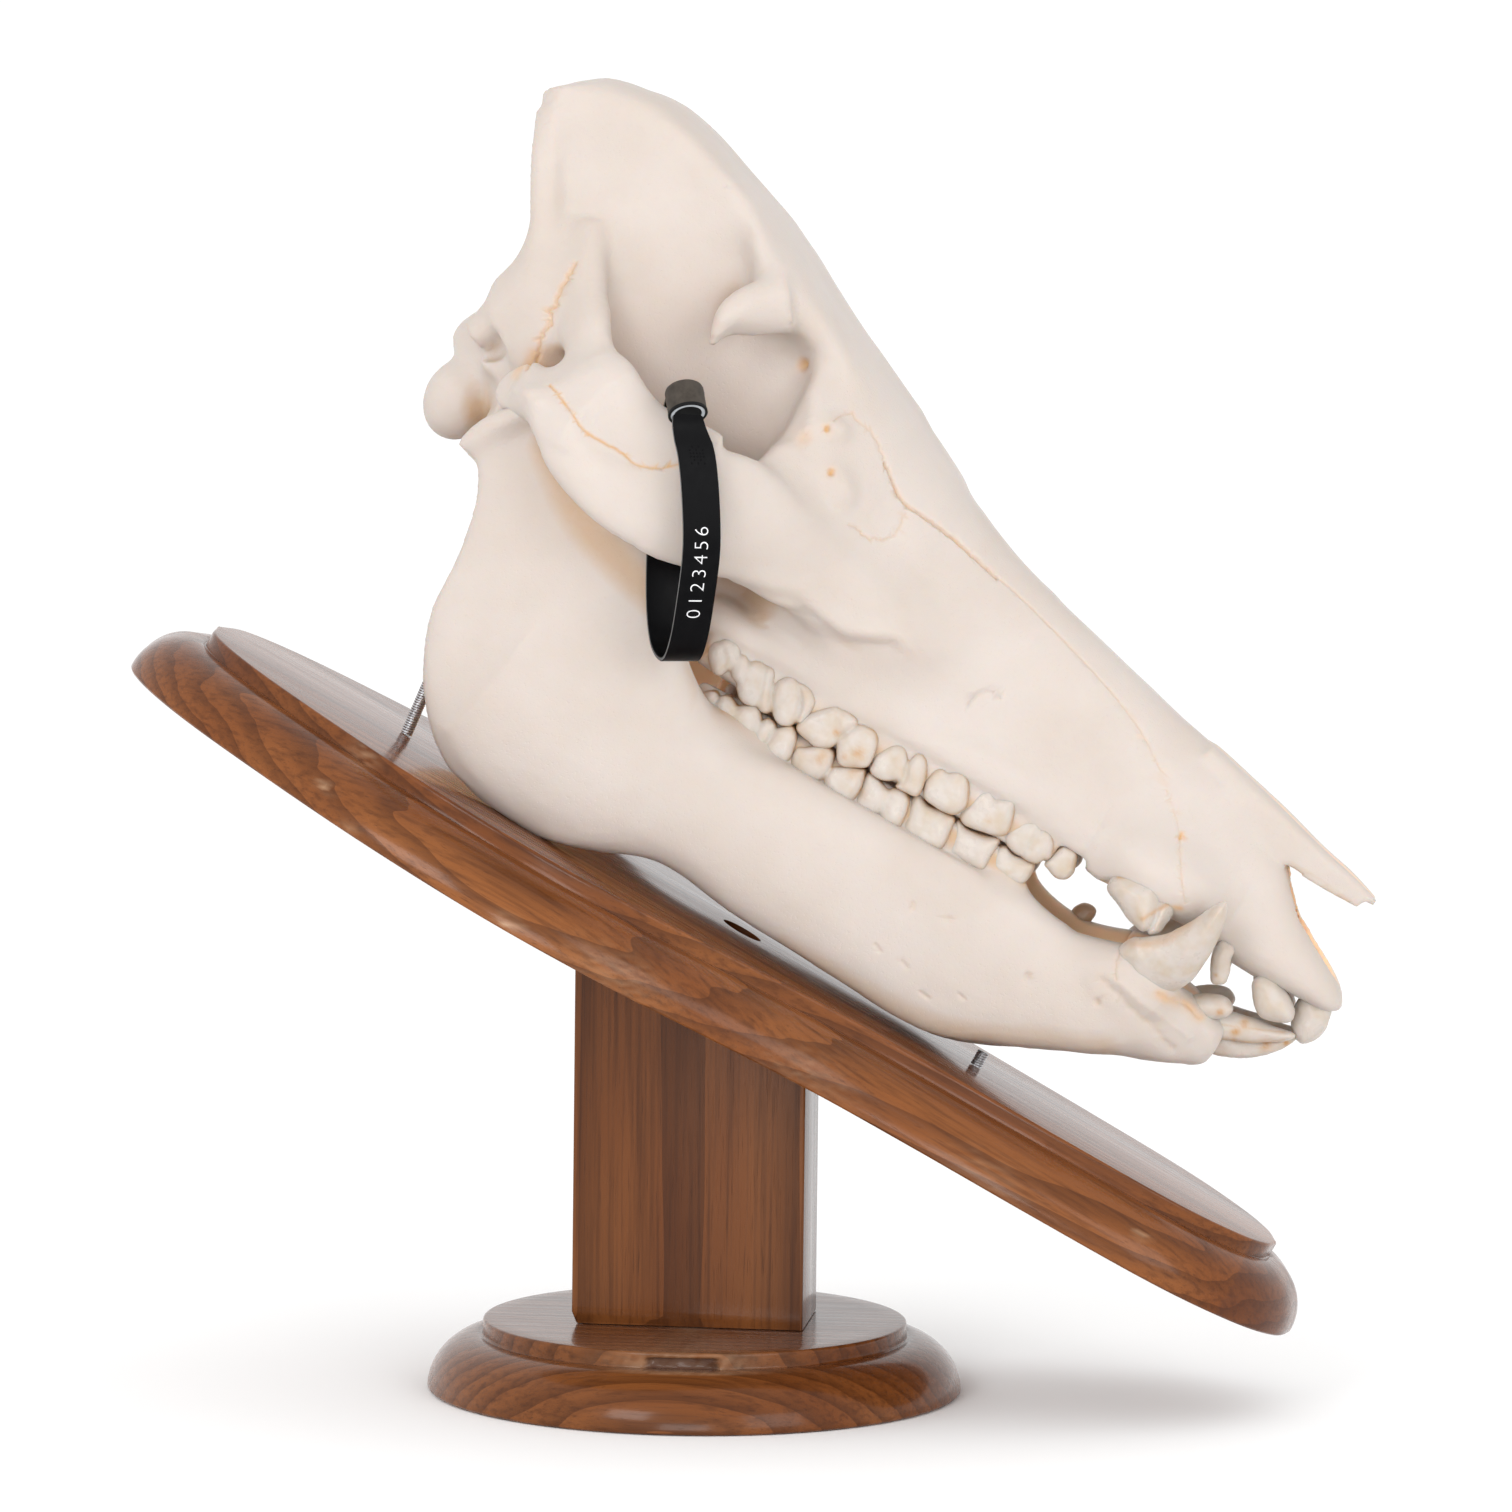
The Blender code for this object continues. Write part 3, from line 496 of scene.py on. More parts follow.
def thinned(points, faces, wanted):
    """The same surface in about as many triangles as wanted, the fewest where it is flat."""
    mesh = bpy.data.meshes.new("thinned")
    mesh.from_pydata(points.tolist(), [], faces.tolist())
    made = new_object("thinned", mesh)
    made.modifiers.new("thin", "DECIMATE").ratio = min(1.0, wanted / len(faces))
    result = worked_out(made)
    result.calc_loop_triangles()
    points = np.empty(len(result.vertices) * 3, np.float32)
    faces = np.empty(len(result.loop_triangles) * 3, np.int32)
    result.vertices.foreach_get("co", points)
    result.loop_triangles.foreach_get("vertices", faces)
    bpy.data.objects.remove(made)
    bpy.data.batch_remove([mesh, result])
    return points.reshape(-1, 3).astype(float), faces.reshape(-1, 3).astype(int)


def set_values(obj, **stored):
    """Stores numbers for each point, one name at a time."""
    for name, values in stored.items():
        attribute = obj.data.attributes.new(name, "FLOAT", "POINT")
        attribute.data.foreach_set("value", np.asarray(values, np.float32))


def piece(obj, look, slot, *nodes):
    """Makes obj a part of the object that stands for CAD nodes."""
    obj.data.materials.clear()
    obj.data.materials.append(look)
    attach(obj, "root")
    if nodes:
        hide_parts(*nodes)


def cranium_field():
    """The upper skull, one side."""
    field = Field((-178, 0, 44), (170, 86, 208), BONE_STEP)
    # Braincase
    field.grow(body([
        (-146, 118, 196, 30, 39, 3.2), (-139, 98, 200, 36, 40.5, 3.4), (-130, 94, 200, 39, 40.5, 3.6),
        (-120, 92, 198, 39, 40, 3.6), (-110, 93, 194, 38, 39.5, 3.6), (-101, 95, 190.5, 35, 39.5, 3.4),
        (-93, 97, 187.5, 30, 39.5, 3.0), (-86, 98, 184, 25, 38, 2.6), (-78, 99, 179, 24, 37, 2.4),
        (-68, 100, 173, 24, 36, 2.4), (-50, 98, 166.5, 30, 37, 2.4), (-34, 90, 158, 35, 34, 2.6)]), 0)
    # Roof, from the crest at the back to the forehead
    field.grow(body([
        (-168, 181, 187.5, 27, 29, 2.4), (-164.5, 180.5, 193.8, 34, 36.5, 2.5),
        (-160, 181.5, 198.6, 38, 39.5, 2.7), (-155.5, 183, 201.4, 39, 40.5, 2.8),
        (-147, 184, 203, 39.5, 41, 2.8), (-138, 187, 203.5, 39.5, 40.5, 2.8),
        (-127, 188, 201, 38.5, 40.5, 2.8), (-113, 187, 196.2, 38, 40, 2.8),
        (-102, 181, 193, 38, 40.5, 2.6), (-93, 171.5, 190, 39.5, 43, 2.4), (-86, 162, 187, 41.5, 46, 2.3),
        (-79, 160, 184, 43, 48, 2.4), (-67, 158, 177.5, 40, 44, 2.6), (-56, 153, 171.3, 36, 40, 2.6),
        (-44, 140, 164, 34, 36, 2.6), (-28, 120, 156.8, 32, 31, 2.6), (-12, 110, 148.5, 28, 25, 2.6)]),
        10)
    # Back wall
    field.grow(plate([
        (92, -148, -120, 0, 14, 2.4), (102, -155, -116, 0, 23, 2.4), (112, -163, -114, 0, 27, 2.4),
        (122, -159.5, -116, 0, 29, 2.4), (133, -154, -120, 0, 31, 2.6), (146, -150, -126, 0, 33, 2.6),
        (160, -154, -130, 0, 35, 2.6), (174, -161, -136, 0, 37, 2.8), (186, -166, -140, 0, 38, 2.8),
        (192, -165, -146, 0, 37, 2.8)], END_BLEND), 8)
    # Snout
    field.grow(body([
        (-52, 92, 166, 30, 36, 2.8), (-38, 76, 160.5, 39, 34, 3), (-20, 71, 152, 39.5, 29, 3.2),
        (0, 70, 142.8, 38, 25, 3.4), (20, 70, 135.8, 35.5, 22, 3.4), (45, 70, 129.6, 31.5, 20, 3.4),
        (66, 70, 124.5, 28, 18.5, 3.2), (80, 67.5, 121, 27, 17.5, 3), (92, 68, 118.5, 27.5, 16.5, 3),
        (106, 69, 115, 27, 15, 2.8), (120, 66.5, 109, 25, 15, 2.6), (129, 65.5, 102, 23.5, 15.5, 2.6),
        (136, 65.2, 94, 22.5, 16, 2.6), (144, 65.4, 87, 21, 16.5, 2.6), (152, 66.3, 82, 19, 15.5, 2.6),
        (159, 66.6, 77.5, 15.5, 13, 2.6), (165, 67.5, 72.5, 10, 8, 2.4)]), 8)
    # Face in front of the eye sockets
    field.grow(body([
        (-58, 108, 164, 60, 46, 2.6), (-46, 99, 161, 58, 43.5, 2.6), (-32, 95, 155, 52.5, 38, 2.6),
        (-16, 91, 147.5, 46, 31.5, 2.6), (0, 88, 140, 40.2, 26.5, 2.6), (12, 86, 134, 36.4, 23, 2.6),
        (26, 84, 128, 30, 17, 2.6)]), 10)
    # Skull base
    field.grow(body([
        (-140, 92, 112, 14, 20, 2.4), (-122, 88, 110, 12, 20, 2.4), (-100, 86, 106, 13, 22, 2.4),
        (-78, 86, 106, 14, 22, 2.4), (-55, 80, 104, 17, 24, 2.6), (-40, 74, 100, 24, 28, 2.6)]), 5)
    # Edge that runs down from the crest to the ear
    field.grow(limb([
        (-163.2, 35, 187, 4.4, 3.2), (-162.0, 36.8, 181, 4.2, 3.2), (-158.8, 37.6, 171.5, 4, 3.2),
        (-153.6, 38.5, 162, 4, 3.6), (-149.2, 38, 154, 4, 3.8), (-146, 37, 147, 4.5, 4),
        (-144.2, 36, 140, 5, 5), (-146, 34, 132, 5.5, 5), (-149, 32, 124, 5.5, 5),
        (-151.6, 30, 117.5, 5, 5)]), 8)
    # Ear region
    field.grow(limb([
        (-142, 33, 128, 14, 8), (-137, 38, 134, 17, 8), (-132, 43, 140, 16, 6), (-128, 47, 144, 11, 4)]),
        10)
    # Jaw joint
    field.grow(limb([(-130, 52, 107, 5.5, 6.5), (-127, 55.5, 111, 7.5, 7), (-123, 60, 115.5, 7.5, 6)]), 6)
    # Rear root of the cheek arch
    field.grow(limb([
        (-136.2, 39.5, 159.6, 3.4, 3.0), (-134.0, 41.2, 154.2, 5.4, 4.0), (-130.6, 44.3, 147.6, 7.0, 4.8),
        (-125.2, 50, 139.6, 7.8, 5.3), (-116.5, 60, 130.6, 9.3, 5.6), (-104, 70.5, 122.5, 10, 5.5)]), 2.5)
    field.grow(lump((-127.5, 40, 121.5), (10, 6, 10)), 5)
    # Hook over the eye socket
    field.grow(limb([
        (-78, 43.5, 168, 8, 7), (-83.6, 48.2, 162.5, 7.4, 5), (-87, 51.5, 157, 4.8, 3.7),
        (-87.6, 53, 149.5, 1.4, 1.3)]), 6)
    # Condyle
    field.grow(lump((-149.5, 17, 97), (10.5, 9.5, 12.5)), 5)
    # Process beside the condyle
    field.grow(limb([
        (-138, 30, 112, 8, 6), (-130, 31, 98, 8, 5), (-122, 32, 80, 6, 4), (-115, 33, 62, 4, 2.5),
        (-111, 34, 48, 2.5, 1.8)]), 5)
    # Ear bone
    field.grow(lump((-108, 25, 86), (9, 7, 16)), 4)
    # Wing behind the palate
    field.grow(limb([(-66, 13, 92, 11, 3.5), (-56, 15, 82, 12, 4), (-46, 19, 78, 9, 6)]), 4)
    # Swelling over the tusk's root
    field.grow(lump((100, 24.5, 79), (14, 6.5, 7)), 16)
    # Ridge over the tooth row
    field.grow(limb([
        (-50, 28, 80, 5, 7), (-45, 28, 80, 6, 8.7), (-15, 27.5, 80, 6, 8.6), (10, 27, 80, 6, 7.7),
        (33, 25.5, 80, 6, 6.6), (52, 23.3, 79.5, 6, 4.9), (72, 21.8, 77.5, 5, 2.8),
        (80, 21.5, 76, 5, 2.4)]), 6)
    # Tip of the nasal bones
    field.grow(limb([
        (96, 7, 114.5, 3.5, 7), (118, 7.5, 110.5, 2.6, 7), (134, 7, 106.6, 2.2, 6.2),
        (146, 6, 104.2, 1.8, 4.8), (154.7, 4.6, 102.4, 1.0, 2.6)]), 2)
    # Their lower edge
    field.grow(limb([
        (104, 13.4, 108, 5, 1.8), (118, 13.4, 105.8, 5, 1.6), (131, 12.4, 103.3, 4.2, 1.5),
        (143, 10.4, 101.2, 3.2, 1.3), (152.6, 7.6, 100.0, 1.8, 1.0)]), 1.5)
    # Nose opening
    field.carve(body([
        (64, 82, 116, 9, 9, 2.4), (95, 76, 111, 11, 10, 2.4), (120, 75, 104.5, 12, 10, 2.4),
        (140, 75, 98, 12, 9, 2.4), (152, 75, 96, 10, 8, 2.4), (190, 76, 94, 10, 10, 2.4)]), 1.5)
    # Space behind the palate
    field.carve(body([(-75, 66, 92, 8, 9, 2.4), (-40, 74, 94, 10, 10, 2.4), (-15, 80, 92, 8, 7, 2.4)]), 3)
    # Braincase opening
    field.carve(body([
        (-180, 100, 120, 13, 10, 2.2), (-148, 101, 119, 10, 9, 2.2), (-130, 104, 124, 10, 10, 2.2),
        (-112, 112, 150, 16, 16, 2.2), (-100, 122, 146, 12, 12, 2.2)]), 2)
    # Hollow above it
    field.carve(lump((-172, 0, 158), (18, 24, 30)), 6)
    # Notch beside the condyle
    field.carve(lump((-142.5, 37, 102), (6, 11, 7.5), math.radians(-25)), 2.5)
    # Eye socket
    field.carve(lump((-68.0, 62, 147), (20.5, 21.5, 19.5)), 2.0)
    # Opening in front of the eye socket
    field.carve(lump((31.5, 34.8, 95.8), (4.6, 4.4, 5.6), math.radians(-20)), 1.0)
    # Room for the crowns
    field.carve(block((-52, -1, 40), (56, 45, 75)), 1.0)
    field.carve(block((55, -1, 40), (79, 45, 72)), 1.0)
    # Gum line
    field.grow(limb([
        (-45, 28, 72, 6.5, 7.2), (-15, 27.5, 71.2, 7.2, 7.2), (10, 27, 71, 7.2, 6.1),
        (33, 25.5, 71, 7, 4.5), (52, 23.3, 71, 6.8, 2.9), (66, 22, 71, 6, 1.6)]), 1)
    # Cheek arch and the crest in front of it
    field.grow(limb([
        (-118.5, 70, 112, 2.5, 3.5), (-113, 71.2, 107.5, 5.5, 5), (-104, 73.5, 103.3, 8, 5.8),
        (-92, 75.3, 100.5, 9.5, 6), (-82, 75.3, 101.5, 12, 6), (-72, 74, 105, 16, 6.2),
        (-60, 68.5, 109.5, 17.5, 7.2), (-47, 59, 108.5, 13.5, 8), (-33, 48.5, 106, 10, 6.5),
        (-17, 40.8, 103.5, 7.5, 5.5), (-4, 36, 103, 5, 4), (8, 32.8, 102.5, 2.5, 2.5)]), 16)
    # Folds under that crest
    field.grow(limb([
        (-46, 58.5, 96.5, 2.5, 4), (-37, 53, 96.3, 3, 5), (-29, 47.5, 98.5, 3, 5),
        (-20, 43.2, 96.5, 3, 5), (-12, 40, 97.5, 3, 4.5), (-4, 37.6, 101, 2.5, 3.5),
        (5, 34.8, 101.5, 1.5, 2.5)]), 5)
    # Knobs on the rim of the eye socket
    field.grow(lump((-46, 43, 145), (4, 4, 3)), 4)
    field.grow(lump((-37, 45, 132), (6, 4, 3.5), math.radians(25)), 5)
    # Upper strip of the cheek arch
    field.grow(limb([
        (-112, 69.5, 127.5, 9, 5), (-101, 73, 121, 10.5, 5.3), (-90, 74.8, 118.5, 9.5, 5.3),
        (-80, 74.6, 120.5, 8.5, 5.3), (-70, 73, 122, 7, 5)]), 3)
    return field.mirrored()


def mandible_field():
    """The lower jaw, one side."""
    field = Field((-140, 0, -3), (142, 74, 128), BONE_STEP)
    # Chin
    field.grow(body([
        (52, 3, 24, 9, 14, 2.4), (64, 2, 34, 12, 19, 2.4), (80, 8, 41, 14, 20, 2.4),
        (98, 18.5, 44, 16, 20, 2.4), (114, 27, 45, 15, 18, 2.4), (126, 33, 45.5, 13, 15, 2.4),
        (133, 36.5, 44.5, 9, 11, 2.4)]), 0)
    # Upright branch
    field.grow(plate([
        (1.5, -86, -62, 44, 3), (4.5, -96, -50, 44, 4.5), (12, -106, -46, 45, 5.5),
        (24, -115, -44, 46, 6.3), (40, -121.5, -42, 46.5, 6.5), (56, -122.5, -42, 48, 6),
        (70, -124, -47, 50, 5.5), (82, -128, -56, 51, 5), (92, -134.5, -68, 52, 4.5),
        (101, -131, -80, 53, 4), (107, -126, -88, 53, 3)]), 0)
    # Front process
    field.grow(limb([
        (-84, 52.5, 92, 14, 4), (-90, 52, 104, 12, 3.5), (-95, 51, 114, 8, 3), (-98, 50, 121, 3, 1.8)]),
        4)
    # Jaw joint
    field.grow(limb([
        (-134, 49, 89, 3, 5.5), (-129.5, 52, 96, 3.6, 7), (-125, 55, 102.5, 3.6, 7.5),
        (-120.5, 57.5, 108, 2.6, 6)]), 4)
    # Body of the jaw
    field.grow(limb([
        (-86, 46.5, 38, 16, 4), (-74, 46, 36, 24, 6), (-58, 44.5, 33, 27, 8.4),
        (-38, 41.5, 30.5, 24.5, 10.5), (-15, 37, 31.2, 23.2, 11), (10, 33, 30.8, 23.8, 10.5),
        (35, 28.5, 29.8, 24.3, 9.5), (58, 24, 30.2, 25.7, 8.5), (74, 21.5, 32, 21, 8),
        (86, 21, 34, 17.5, 8), (98, 21, 38, 16, 8.5), (110, 20, 41, 12.5, 8), (121, 14.5, 42, 9, 7),
        (131, 8, 43, 5, 5)]), 16)
    # Ridge under the tooth row
    field.grow(limb([
        (-46, 28, 47, 7.5, 7.6), (-12, 27.5, 46.5, 7.5, 7.3), (10, 27, 46.5, 7.5, 6.3),
        (33, 25.3, 47, 7.5, 4.7), (52, 23, 48, 7.5, 3.7), (66, 21.8, 49, 7, 3.2), (76, 21.8, 47, 6, 3)]),
        5)
    # Swelling round the tusk's root
    field.grow(lump((107, 24, 48.5), (13, 7.5, 9), math.radians(-20)), 6)
    # Ridge under the incisors
    field.grow(limb([(116, 14, 46, 2.5, 3), (124, 11, 46.5, 2.5, 3), (131, 8.5, 46, 2, 2.5)]), 3)
    # Room for the crowns
    field.carve(block((-44, -1, 53.8), (67, 40, 90)), 1.0)
    # Gum line
    field.grow(limb([
        (-41, 28.3, 57, 4.6, 6.0), (-12, 27.5, 57.2, 5.6, 5.6), (10, 27, 57, 5.6, 4.6),
        (33, 25.3, 57.3, 5.5, 3.0), (52, 23, 57.6, 5.3, 2.1), (64, 21.5, 57.6, 4.4, 1.5)]), 1)
    return field.mirrored()


# Marks on the bone: points in X and Z, least |y|, both sides or the near one only, half width and
# depth of the groove, half width and strength of its stain, shake
CRANIUM_MARKS = [
    ([(-120, 117), (-116, 116), (-110, 113.7), (-104, 111.2), (-98, 110.7), (-92, 110.9), (-87.7, 110.2),
     (-83.8, 110.8), (-79.4, 113), (-76, 116), (-73.5, 118.5)], 64, True, 0.35, 0.5, 0.4, 0.8, 0.1),
    ([(-134.6, 148.9), (-134, 142), (-133, 134.4), (-132.2, 128.3), (-131.1, 122.4), (-130.3, 117.9)], 42,
     True, 0.6, 0.8, 0.8, 0.5, 0.6),
    ([(-29, 143.8), (-20, 136.9), (-14.6, 135.8), (-6.4, 134.8), (3, 133.1), (15.3, 130)], 8, True, 0.4,
     1.1, 0.45, 0.45, 0.1),
    ([(-47.7, 148.3), (-44.8, 150.4), (-40.7, 150.5), (-35.6, 148.7), (-32.1, 146.3), (-29, 143.8)], 20,
     True, 0.35, 0.35, 0.4, 0.28, 0.35),
    ([(-28.1, 123.5), (-25, 123.5), (-22.7, 122.3), (-20.1, 122.7), (-16.9, 125.8), (-16.2, 130.1),
     (-16.5, 133.4)], 20, True, 0.35, 0.4, 0.4, 0.28, 0.35),
    ([(15, 130.5), (30, 127), (46.5, 122.2), (59.7, 118), (73.1, 112.3), (83.9, 105.2), (90.8, 99.1),
     (97.2, 93.4), (101.7, 86.9), (106, 80.5), (109.5, 76)], 8, True, 0.3, 0.35, 0.3, 0.25, 0.06),
    ([(98.6, 92.5), (98.9, 91.5)], 10, False, 0.5, 0.5, 0.7, 0.9, 0.0),
    ([(-64.3, 156.4), (-64.2, 156)], 15, True, 1.3, 2.2, 1.5, 0.9, 0.0),
    ([(-52, 139.3), (-51.5, 139)], 25, True, 2.0, 1.2, 2.2, 0.35, 0.0),
    ([(26.6, 94.6), (27.2, 98.6), (29.8, 101.2), (33.2, 101.2)], 20, True, 0.6, 0.9, 0.6, 0.05, 0.0),
    ([(-40.2, 134.5), (-40, 134)], 25, True, 0.9, 1.2, 1.0, 0.9, 0.0),
    ([(-47.6, 144.6), (-47.3, 144)], 25, True, 0.7, 1.0, 0.9, 0.9, 0.0),
    ([(-132.5, 121), (-131.5, 114)], 40, True, 0.1, 0.0, 1.6, 0.45, 0.0),
    ([(-48, 71), (-10, 70.5), (30, 70), (66, 70)], 10, True, 0.1, 0.0, 2.6, 0.25, 0.0),
    ([(-52, 93.5), (-44, 96.8), (-38, 98), (-31, 100.7), (-26.9, 99.4), (-20.6, 97.7), (-14.5, 96.3),
     (-8.4, 98.8), (-2, 102.3), (3, 102.3)], 24, True, 2.9, -1.0, 0.1, 0.0, 0.0),
    ([(-48, 92.5), (-42, 94), (-36, 95), (-30, 97), (-25, 95.6), (-19.5, 94), (-13.5, 92.6), (-7.5, 95),
     (-1, 98.6)], 24, True, 2.8, 1.25, 0.1, 0.0, 0.0),
    ([(163.8, 66), (163.4, 65)], 3, True, 0.1, 0.0, 0.9, 0.6, 0.0),
    ([(86, 68.6), (93, 66), (101, 70), (109, 74)], 18, True, 0.1, 0.0, 1.0, 0.6, 0.0)]
MANDIBLE_MARKS = [
    ([(80.7, 34.6), (81, 34)], 15, True, 1.1, 0.8, 0.8, 0.15, 0.0),
    ([(101.7, 38.4), (102, 38)], 15, True, 0.9, 0.8, 0.8, 0.3, 0.0),
    ([(41.5, 36.7), (42, 35.5)], 15, True, 0.9, 0.5, 0.8, 0.15, 0.0),
    ([(52.5, 38), (53, 37.5)], 15, False, 0.7, 0.5, 0.8, 0.15, 0.0),
    ([(100, 44.5), (109, 42), (118, 40), (127, 36.5)], 10, True, 1.5, 0.7, 0.8, 0.1, 0.3),
    ([(104, 47), (113, 45), (122, 43.5), (130, 42)], 6, True, 1.3, -0.6, 0.8, 0.0, 0.2),
    ([(38, 21), (40, 20)], 15, False, 0.6, 0.4, 0.8, 0.1, 0.0),
    ([(47, 20.5), (49, 19.5)], 15, False, 0.6, 0.4, 0.8, 0.1, 0.0),
    ([(56, 15), (59, 14.5)], 15, False, 0.6, 0.4, 0.8, 0.1, 0.0),
    ([(66, 20), (68, 19.5)], 15, False, 0.5, 0.4, 0.8, 0.1, 0.0),
    ([(101, 57.5), (100.3, 54), (101.5, 50), (103.5, 47)], 15, True, 0.3, 0.5, 0.4, 0.25, 0.15),
    ([(-34, 58), (-10, 58), (30, 58), (66, 58)], 10, True, 0.1, 0.0, 2.4, 0.25, 0.0),
    ([(116, 49), (124, 49.5), (130, 48)], 5, True, 0.5, 0.3, 1.6, 0.5, 0.2)]
# Painted shade, soft and brown, added along lines to the painted shade of the hollows: points in X and Z,
# least |y|, half width, strength
CRANIUM_PAINTED_SHADE = [
    ([(-97, 160), (-92, 146), (-88, 134)], 18, 8.0, 0.12),
    ([(130, 101), (151, 99)], 8.5, 1.3, 0.7),
    ([(-50, 70), (-10, 69.5), (30, 69), (67, 69)], 10, 3.5, 1.0),
    ([(-50, 91), (-36, 93), (-20, 92), (-8, 93)], 24, 2.6, 0.35),
    ([(-56, 92), (-46, 90), (-38, 88)], 20, 4.0, 0.5),
    ([(-140, 100), (-146, 97)], 18, 7.0, 0.5),
    ([(-128, 112), (-120, 116)], 35, 5.0, 0.3)]
MANDIBLE_PAINTED_SHADE = [
    ([(-112, 99), (-99, 89), (-78, 81), (-62, 78)], 30, 8.5, 1.15),
    ([(-34, 59), (-10, 59), (30, 59), (66, 59)], 10, 3.0, 1.0),
    ([(15, 7), (45, 7), (70, 10), (90, 20), (110, 28)], 5, 7.0, 0.75)]
# Where a bone is evened out: points in X and Z, least |y|, half width, passes
CRANIUM_EASED = [
    ([(-150, 189), (-140, 190), (-129, 189.5), (-116, 186.5), (-106, 181)], 30, 6.0, 90),
    ([(-121.7, 120.7), (-114.8, 131.9), (-110.9, 135.7)], 50, 5.0, 60),
    ([(12, 112), (20, 104), (17, 93), (6, 89), (-10, 88)], 24, 7.0, 120),
    ([(-47, 71), (10, 70), (56, 71), (78, 72)], 28, 2.5, 10)]
MANDIBLE_EASED = [
    ([(-31, 4), (-32, 30), (-35, 52)], 30, 13.0, 200),
    ([(-98, 71), (-82, 71), (-66.8, 70.1), (-50, 69)], 30, 9.0, 150),
    ([(60, 54), (68, 56), (78, 54)], 12, 4.0, 40)]


def bone_object(name, field, marks, painted_shades, lines, triangles):
    """Bone from its field with its marks; for each point how stained it is, a painted shade that grows in
    recesses and along shaded lines, and a painted tan glow where it faces the midline.
    """
    points, faces = surface(field)
    points = eased(smoothed(points, faces, BONE_ROUNDS), faces, lines)
    points, faces = thinned(points, faces, triangles)
    lines = [crinkled(line, amount=shake, seed=i) for i, (line, *_, shake) in enumerate(marks)]
    for shortest, widest in REFINEMENTS:
        points, faces = refined(points, faces, lines, marks, shortest, widest)
    out = normals_of(points, faces)
    tint = np.zeros(len(points))
    sunk = wavy(points, WAVE_SIZE, 3) * WAVE_DEPTH
    for line, (_, beyond, both, width, depth, stain_width, stain, _) in zip(lines, marks):
        away = mark_distance(points, line, beyond, both)
        sunk += depth * faded(away, width)
        tint = np.maximum(tint, stain * faded(away, stain_width))
    points = points - out * sunk[:, None]
    made = mesh_object(name, points, faces.tolist())
    # Painted shade: warmer and darker colour the deeper a point lies in a hollow, read from the field a few
    # millimetres off the surface
    recess = sum(np.clip(1 - field.sample(points + out * reach) / reach, 0, 1) for reach in RECESS_REACHES)
    recess = recess / len(RECESS_REACHES)
    # Painted shade along lines, such as beneath the cheek arch, at the gum lines, under the facial folds and
    # along the jaw's lower edge
    for line, beyond, width, strength in painted_shades:
        recess += strength * faded(mark_distance(points, crinkled(line), beyond), width)
    # inner: a painted tan glow on faces turned towards the midline, standing in for light shining through
    # thin bone and bounced inside the mouth
    set_values(made, inner=np.clip(-out[:, 1] * np.sign(points[:, 1]) * 2, 0, 1), recess=recess,
               tint=tint * (0.75 + 0.25 * wavy(points, 4.0, 9)))
    return made


